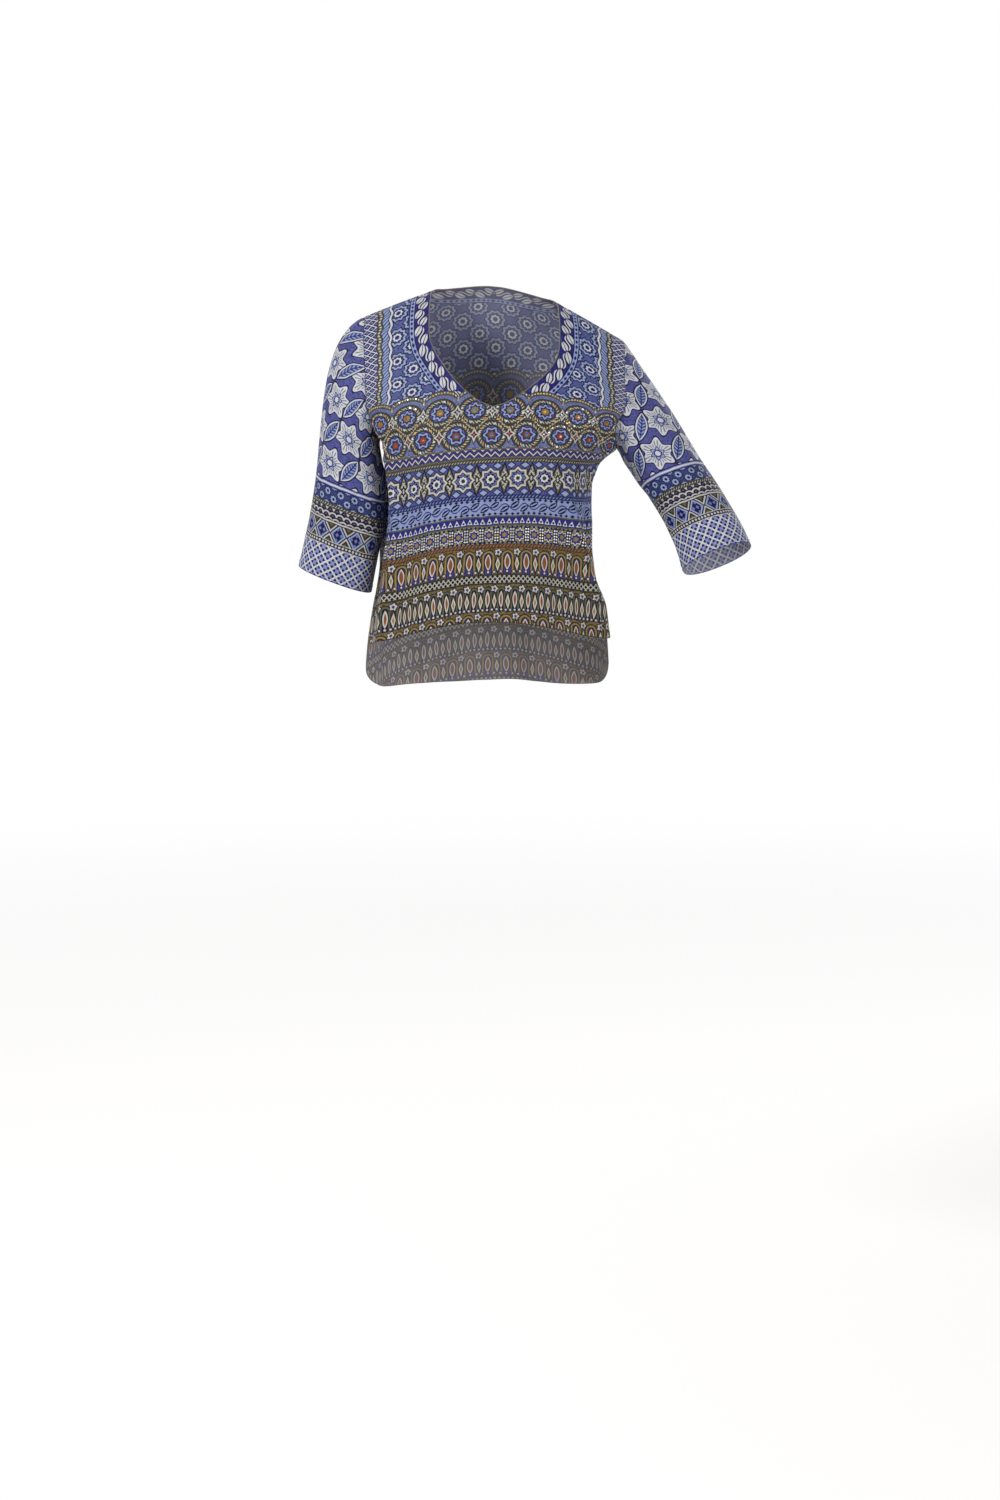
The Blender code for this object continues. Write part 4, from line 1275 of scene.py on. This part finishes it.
def sleeve_cloth(name):
    """A sleeve's print on crepe, with painted shade along the cuff's edge and the armhole seam. Heights
    count up from the cuff.
    """
    g = Graph(name)
    place, x, along, left = place_of(g)
    y = left + (g.noise(place, 0.05) - 0.5) * 2.4
    fills = Fillings(g, place)
    # Large pale flowers and leaves on violet.
    total = fills.on(VIOLET, NAVY, ROYAL, PERIWINKLE)
    for centre, shift in ((150.0, 14.0), (192.0, 45.0)):
        cx, cy = g.cell(x - shift, 62.0), g.cell(y - centre, 84.0)
        bloom = rosette(g, cx, cy, 6, 0.20, 0.6)
        total.grow(bloom, (21.0, NAVY), (19.0, WHITE))
        veins = g.line(g.cell(g.turn(cx, cy) * 6.0, 1.57), 0.50)
        total.over(DUSK, veins * g.fill(abs(bloom - 12.6), 3.6))
        total.grow(bloom, (8.6, NAVY), (7.2, PALE))
        total.grow(star8(g, cx, cy), (4.6, ROYAL), (3.0, WHITE))
        lx, ly = g.cell(x - shift - 31.0, 62.0), cy
        lean, run = lx * 0.8 + ly * 0.6, ly * 0.8 - lx * 0.6
        blade = leaf(g, lean, run, 21.0, 8.2)
        total.grow(blade, (1.7, NAVY), (0.0, WHITE), (-1.8, DUSK))
        total.over(PALE, g.line(g.cell(run - abs(lean) * 0.8, 5.2), 2.0) * g.fill(blade, -2.6))
        total.over(ROYAL, g.line(lean, 1.5) * g.fill(blade, -1.0))
    # Stars on slate.
    paint = fills.on(SLATE, NAVY, DUSK)
    for shift, lift in ((0.0, 0.0), (9.7, 8.4)):
        star = star8(g, g.cell(x - shift, 19.3), g.cell(y - 105.0 - lift, 16.8))
        paint.grow(star, (4.6, NAVY), (3.5, PALE), (1.6, NAVY))
    total.over(paint, g.fill(y, 123.0))
    total.grow(abs(y - 123.0), (3.8, NAVY), (2.4, PERIWINKLE), (1.1, WHITE))
    # Scales in navy and cream, under a corded border.
    row = g.odd(y, 7.2) * 5.0
    scale = g.length(g.cell(x + row, 10.0), (g.cell(y, 7.2) + 3.6) * 1.1)
    paint = Paint(g, NAVY).over(CREAM, g.line(scale - 5.0, 2.0)).over(OLIVE, g.fill(scale, 1.9))
    total.over(paint, g.fill(y, 96.0))
    total.over(rope(g, x, y - 96.0, 6.0), g.fill(abs(y - 96.0), 3.0))
    # Gems in olive, blue and cream.
    paint = fills.on(CREAM, OLIVE, BRONZE)
    gem = lozenges(g, x, y - 62.0, 24.0, 10.6, 13.0)
    paint.grow(gem, (1.8, NAVY), (0.0, PALE), (-2.0, NAVY))
    check = lozenges(g, x, g.cell(y - 62.0, 7.2), 6.4, 2.4, 2.8)
    paint.over(PERIWINKLE, g.fill(check) * g.fill(gem, -2.4))
    half_gem = lozenges(g, x - 12.0, abs(y - 62.0) - 13.0, 24.0, 7.4, 9.6)
    paint.grow(half_gem, (1.6, CREAM), (0.0, BRONZE), (-2.6, OLIVE))
    total.over(paint, g.fill(y, 76.0))
    total.grow(abs(y - 76.0), (2.2, NAVY), (1.0, CREAM))
    # The cuff: a network of eight-pointed stars.
    paint = Paint(g, ROYAL).over(NAVY, fills.dark)
    for shift in (0.0, 8.0):
        sx, sy = g.cell(x - shift, 16.0), g.cell(y - shift, 16.0)
        paint.over(WHITE, g.line(star8(g, sx, sy) - 5.2, 1.3))
        paint.over(PERIWINKLE, g.fill(g.length(sx, sy), 2.9))
    paint.over(PALE, g.fill(g.low(g.near(x + y, 16.0), g.near(x - y, 16.0)), 0.6))
    total.over(paint, g.fill(y, 47.0))
    total.grow(abs(y - 47.0), (3.9, CREAM), (3.0, NAVY))
    total.grow(dots(g, x, y - 47.0, 4.8), (1.6, CREAM))
    # Painted shade: a darker line along the cuff's edge, where the cloth turns, and along the armhole
    # seam, where it dips.
    total.over(ROYAL, g.fill(left, 0.9) * 0.7)
    total.over(INK, g.fill(along, 0.5) * 0.6)
    return crepe(g, place, total)


# ------------------------------------------------------------------- pieces

def add(piece, slot, material, node=None):
    """Link a piece, make it ride, give it its material, and hide the solid that it stands for."""
    bpy.context.scene.collection.objects.link(piece)
    piece.data.materials.append(material)
    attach(piece, "root")
    if node:
        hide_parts(node)
    slot + "_crepe"
    return piece


def frames(points, normals, along):
    """Unit axes at points of a surface: along, sideways and out."""
    side = unit(np.cross(normals, along))
    return points, unit(np.cross(side, normals)), side, normals


def scatter(name, at, shape, faces, sizes, smooth):
    """Copies of one small shape, one at each place, as one mesh."""
    points, along, side, out = (column[:, None] for column in at)
    sizes = np.asarray(sizes)[:, None, None]
    local = np.asarray(shape) * sizes
    placed = points + local[..., :1] * along + local[..., 1:2] * side + local[..., 2:] * out
    count = len(placed)
    numbered = [[corner + i * len(shape) for corner in face] for i in range(count) for face in faces]
    piece = mesh_object(name, placed, numbered, smooth)
    # A tone from 0 to 1 for each face: on the stones it sets how much painted glint each facet gets
    # over its painted shade.
    glint_tone = (np.arange(count * len(faces)) * FACET_GLINT_STEP) % 1
    set_attribute(piece.data, "facet_glint", "FLOAT", "FACE", glint_tone)
    return piece


def cut_stone():
    """A flat-backed cut stone of diameter 1: its table, crown facets and back."""
    count = 8
    turn = 2 * np.pi * np.arange(count) / count
    rim = [(math.cos(a) / 2, math.sin(a) / 2, -0.06) for a in turn]
    girdle = [(x, y, 0.06) for x, y, _ in rim]
    table = [(0.29 * math.cos(a), 0.29 * math.sin(a), 0.27) for a in turn + np.pi / count]
    faces = [list(range(count))[::-1], list(range(2 * count, 3 * count))]
    for i in range(count):
        j = (i + 1) % count
        faces.append([i, j, count + j, count + i])
        faces.append([count + i, count + j, 2 * count + i])
        faces.append([2 * count + i, count + j, 2 * count + j])
    return rim + girdle + table, faces


def bead():
    """A round bead of diameter 1 that sits on the cloth."""
    count, rings = 8, ((0.42, -0.10), (0.50, 0.10), (0.36, 0.36))
    turn = 2 * np.pi * np.arange(count) / count
    points = [(r * math.cos(a), r * math.sin(a), z) for r, z in rings for a in turn]
    points.append((0.0, 0.0, 0.48))
    faces = [list(range(count))[::-1]]
    for ring in range(len(rings) - 1):
        for i in range(count):
            a, b = ring * count + i, ring * count + (i + 1) % count
            faces.append([a, b, b + count, a + count])
    last = (len(rings) - 1) * count
    faces += [[last + i, last + (i + 1) % count, len(points) - 1] for i in range(count)]
    return points, faces


def stitch():
    """A stitch of length 1, thickest in its middle and sunk at its ends."""
    ring = ((0.13, 0.0), (0.09, 0.13), (-0.09, 0.13), (-0.13, 0.0))
    points = [(x, y, z) for x in (-0.25, 0.25) for y, z in ring]
    points += [(-0.5, 0.0, -0.03), (0.5, 0.0, -0.03)]
    faces = [[i + 4, i + 5, i + 1, i] for i in range(3)] + [[7, 4, 0, 3]]
    faces += [[i, i + 1, 8] for i in range(3)] + [[3, 0, 8]]
    faces += [[i + 5, i + 4, 9] for i in range(3)] + [[4, 7, 9]]
    return points, faces


def front_places(x, y):
    """(angle, run) on the front where the print has the places (x, y), and which are on it."""
    x, y = np.asarray(x, float), np.asarray(y, float)
    run = PRINT_ZERO + (y - PRINT_SLOPE * x) / 1000
    runs, angles, arcs = ARCS[FRONT]
    angle = np.empty(len(x))
    for i, (place, level) in enumerate(zip(x, run / runs[1])):
        row = int(level)
        arc = arcs[row] + (arcs[row + 1] - arcs[row]) * (level - row)
        angle[i] = np.interp(place, arc, angles)
    (inner_angle, inner_run), (outer_angle, outer_run) = panel_edges(PANELS["front"])
    folded = np.where(angle > 90, 180 - angle, angle)
    outside = np.interp(run, outer_run[::-1], outer_angle[::-1]) + CLEAR_OF_EDGE
    centre = inner_angle > 89.99
    neck_angle, neck_run = inner_angle[~centre], inner_run[~centre]
    opening = np.interp(run, neck_run[::-1], neck_angle[::-1], right=200.0)
    return angle, run, (folded > outside) & (folded < opening - CLEAR_OF_EDGE)


def stones():
    """Places and sizes of the stones and beads on the front, by kind."""
    kinds = {kind: [] for kind in STONE_COLOURS_AND_GLINTS}
    half = RING_PITCH / 2

    def put(kind, x, y, size):
        kinds[kind].append((x, y, BEAD if kind == "bead" else size))

    for k in range(-5, 6):
        for centre, shift, size in ((5.0, half, 15.5), (41.0, 0.0, 14.5)):
            x = shift + k * RING_PITCH
            put("blue" if abs(x) < 50 else "amber" if abs(x) < 80 else "red", x, centre, HEART_STONE)
            reach = size + 1.8
            for i in range(12):
                a = math.radians(30 * i + 15)
                kind = ("clear", "amber", "bead")[i % 3]
                put(kind, x + reach * math.cos(a), centre + reach * math.sin(a), RING_STONE)
        put("red", half + k * RING_PITCH, 40.0, BETWEEN_STONE)
        put("clear", k * RING_PITCH, 6.5, BETWEEN_STONE)
        for i in range(12):
            x = (k + i / 12) * RING_PITCH
            y = 23.0 - 8.0 * math.cos(2 * math.pi * x / RING_PITCH)
            put("amber" if i % 4 == 2 else "bead", x, y, RING_STONE)
            away = x % RING_PITCH - half
            arc = 0.62 * math.sqrt(max(half**2 - away**2, 0.0))
            put("bead" if i % 3 else "amber", x, -12.0 - arc, ARCH_STONE)
    for k in range(-11, 12):
        x = (k + 0.5) * BLOOM_PITCH
        for i in range(5):
            kind = "amber" if i == 2 and k % 3 == 0 else "clear"
            for across in (-1.6, 1.6):
                put(kind, x + across, 174.0 + (i - 2) * 3.6, BAND_STONE)
    return kinds


def on_front(rows):
    """The frames and sizes of those places that lie on the front."""
    x, y, sizes = np.array(rows).T
    angle, run, inside = front_places(x, y)
    angle, run = angle[inside], run[inside]
    normals = body_normal(angle, run)
    points = body_point(angle, run) + normals * HALF_CLOTH
    ahead = np.tile(np.array([0.3, 0.0, 1.0]), (len(points), 1))
    return frames(points, normals, ahead), sizes[inside] / 1000


def stitch_places(line, normals, lift):
    """Frames of stitches at an even pitch along a line on the cloth."""
    knots = measured(line)
    at = np.arange(STITCH_PITCH / 2, knots[-1], STITCH_PITCH)
    points, ways = (
        np.stack([np.interp(at, knots, column) for column in rows.T], -1) for rows in (line, normals)
    )
    ways = unit(ways)
    return frames(points + ways * lift, ways, np.gradient(points, axis=0))


def panel_stitches(name):
    """Stitch lines round a panel's hem and slits, as frames."""
    panel = PANELS[name]
    lines = []
    for side in (RIGHT, LEFT):
        angle, run = half_panel(panel, side)
        turn = np.sign(angle[0, 0] - angle[0, -1]) * SLIT_STITCH_TURN
        keep = np.abs(angle[0] - angle[0, -1]) > SLIT_STITCH_TURN
        lines.append((angle[0][keep], run[0][keep] - STITCH_INSET))
        rows = panel["hem_rows"] + 1
        slit_run = run[:rows, -1]
        low = slit_run < run[0, -1] - STITCH_INSET
        lines.append(((angle[:rows, -1] + turn)[low], slit_run[low]))
    placed = []
    for angle, run in lines:
        placed.append(stitch_places(body_point(angle, run), body_normal(angle, run), HALF_TURNED))
    return [np.concatenate(parts) for parts in zip(*placed)]


def cuff_stitches(grid, side):
    """The stitch line round a cuff, as frames."""
    edge_row, above = grid[-1], grid[-5]
    line = edge_row + unit(above - edge_row) * STITCH_INSET
    normals = tube_normals(grid, side)[-3]
    wrap = np.arange(len(line) + 1) % len(line)
    return stitch_places(line[wrap], normals[wrap], HALF_TURNED)


def neck_roll():
    """The rolled edge of the neckline, a thin tube."""
    line, normals = [], []
    for name, side, order in (
        ("front", RIGHT, 1), ("back", RIGHT, -1), ("back", LEFT, 1), ("front", LEFT, -1),
    ):
        angle, run = half_panel(PANELS[name], side)
        angle, run = (column[-UPPER_ARMHOLE_ROWS - 1:, 0][::order] for column in (angle, run))
        line.append(body_point(angle, run)[:-1])
        normals.append(body_normal(angle, run)[:-1])
    line, normals = np.concatenate(line), np.concatenate(normals)
    ahead = np.roll(line, -1, axis=0) - np.roll(line, 1, axis=0)
    points, ahead, side, out = frames(line, unit(normals), ahead)
    turn = 2 * np.pi * np.arange(ROLL_SIDES) / ROLL_SIDES
    ring = np.cos(turn)[:, None] * out[:, None] + np.sin(turn)[:, None] * side[:, None]
    tube = points[:, None] + ROLL_RADIUS * ring
    rows, count = tube.shape[:2]
    index = np.pad(np.arange(rows * count).reshape(rows, count), ((0, 1), (0, 1)), "wrap")
    return mesh_object("neck_roll", tube, block_faces(index).tolist())


def stone_material(name, deep, glint_colour):
    """Cut glass: each facet has its own share of the deep and the bright colour, as painted shade and
    painted glint in place of the facets' reflections.
    """
    g = Graph(name)
    facet_glint = g.attribute("facet_glint")
    look = {"Specular_IOR_Level": 0.8, "Coat_Weight": 0.5, "Coat_Roughness": 0.03}
    return g.finish(g.principled(Paint(g, deep).over(glint_colour, facet_glint), facet_glint * 0.12 + 0.04, **look))


def thread_material(name, dark, light):
    """Sewing thread: its twist in two tones."""
    g = Graph(name)
    place = g.node("ShaderNodeTexCoord").outputs["Object"]
    twist = g.bands(place, 260.0, 1.5, "DIAGONAL")
    colour = Paint(g, dark).over(light, twist)
    return g.finish(g.principled(colour, twist * 0.2 + 0.5, twist, 0.4, Specular_IOR_Level=0.25))


def floor_paper():
    """Pale paper that turns to plain white a few metres away."""
    g = Graph("floor_paper")
    x, y, _ = g.parts(g.node("ShaderNodeTexCoord").outputs["Object"])
    ends = {0: g.length(x, y), 1: FLOOR_FADE[0], 2: FLOOR_FADE[1]}
    fade = g.read(0, "ShaderNodeMapRange", ends, interpolation_type="SMOOTHSTEP")
    paper = g.node("ShaderNodeBsdfDiffuse", {0: (*FLOOR_TONE, 1.0)})
    glow = g.node("ShaderNodeEmission")
    return g.finish(g.node("ShaderNodeMixShader", {0: fade, 1: paper.outputs[0], 2: glow.outputs[0]}))


def stand(name, data, place, target):
    """A light or camera at a place, turned to a target."""
    thing = bpy.data.objects.new(name, data)
    thing.location = place
    thing.rotation_euler = (Vector(target) - thing.location).to_track_quat("-Z", "Y").to_euler()
    bpy.context.scene.collection.objects.link(thing)
    return thing


def studio():
    """The floor, the lights and the camera."""
    scene = bpy.context.scene
    scene.view_settings.view_transform = "Standard"
    scene.world = bpy.data.worlds.new("studio")
    scene.world.use_nodes = True
    tree = scene.world.node_tree
    background = tree.nodes["Background"]
    background.inputs[0].default_value = (1.0, 1.0, 1.0, 1.0)
    rays, level = tree.nodes.new("ShaderNodeLightPath"), tree.nodes.new("ShaderNodeMapRange")
    level.inputs[3].default_value, level.inputs[4].default_value = AMBIENT, 1.0
    tree.links.new(rays.outputs["Is Camera Ray"], level.inputs[0])
    tree.links.new(level.outputs[0], background.inputs[1])
    half = FLOOR_SIZE / 2
    square = ((-half, -half), (half, -half), (half, half), (-half, half))
    floor = mesh_object("floor", [(*corner, FLOOR_LEVEL) for corner in square], [(0, 1, 2, 3)], False)
    floor.data.materials.append(floor_paper())
    scene.collection.objects.link(floor)
    for name, place, size, energy in LIGHTS:
        light = bpy.data.lights.new(name, "AREA")
        light.shape, light.size, light.energy = "SQUARE", size, energy
        stand(name, light, place, LIGHT_TARGET)
    lens = bpy.data.cameras.new("camera")
    lens.lens, lens.sensor_width, lens.clip_end = LENS, SENSOR, FARTHEST
    scene.camera = stand("camera", lens, CAMERA_PLACE, CAMERA_TARGET)


# Flat cuts: width, length and area in metres, as each piece lies before it is sewn.
CUTS = {
    "front": ((0.485, 0.480), 0.168),
    "back": ((0.450, 0.580), 0.218),
    "sleeve_left": ((0.300, 0.340), 0.074),
    "sleeve_right": ((0.305, 0.365), 0.081),
}
# Each stone's deep and bright colour. Its facets are painted between the two as painted shade and
# painted glints, in place of reflections.
STONE_COLOURS_AND_GLINTS = {
    "amber": (linear(120, 66, 16), linear(246, 190, 96)),
    "blue": (linear(10, 40, 120), linear(90, 190, 246)),
    "clear": (linear(120, 120, 132), linear(255, 255, 255)),
    "red": (linear(92, 8, 20), linear(226, 70, 80)),
    "bead": (linear(150, 142, 112), linear(232, 226, 200)),
}


def main():
    studio()
    sheets = {
        "front": panel_sheet("front"),
        "back": panel_sheet("back"),
        "sleeve_left": sleeve_sheet(SLEEVE_LEFT, LEFT, CREASES_LEFT),
        "sleeve_right": sleeve_sheet(SLEEVE_RIGHT, RIGHT, CREASES_RIGHT),
    }
    prints = {"front": body_cloth("front_print"), "sleeve_left": sleeve_cloth("sleeve_left_print")}
    prints["back"], prints["sleeve_right"] = prints["front"].copy(), prints["sleeve_left"].copy()
    thread = thread_material("thread", linear(66, 62, 70), linear(150, 144, 138))
    trims = {node: [] for node in sheets}
    trims["front"].append(add(neck_roll(), "front", thread))
    for kind, rows in stones().items():
        at, sizes = on_front(rows)
        shape, faces = bead() if kind == "bead" else cut_stone()
        piece = scatter(kind + "_stones", at, shape, faces, sizes, kind == "bead")
        material = stone_material(kind + "_glass", *STONE_COLOURS_AND_GLINTS[kind])
        trims["front"].append(add(piece, "front", material))
    for node, sheet in sheets.items():
        at = cuff_stitches(sheet["grid"], sheet["side"]) if "grid" in sheet else panel_stitches(node)
        shape, faces = stitch()
        piece = scatter(node + "_stitches", at, shape, faces, np.full(len(at[0]), STITCH_LENGTH), True)
        trims[node].append(add(piece, node, thread))
    for node, sheet in sheets.items():
        piece = add(shell(node + "_cloth", sheet), node, prints[node], node)
        flat, area = CUTS[node]
        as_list(trims[node])


main()
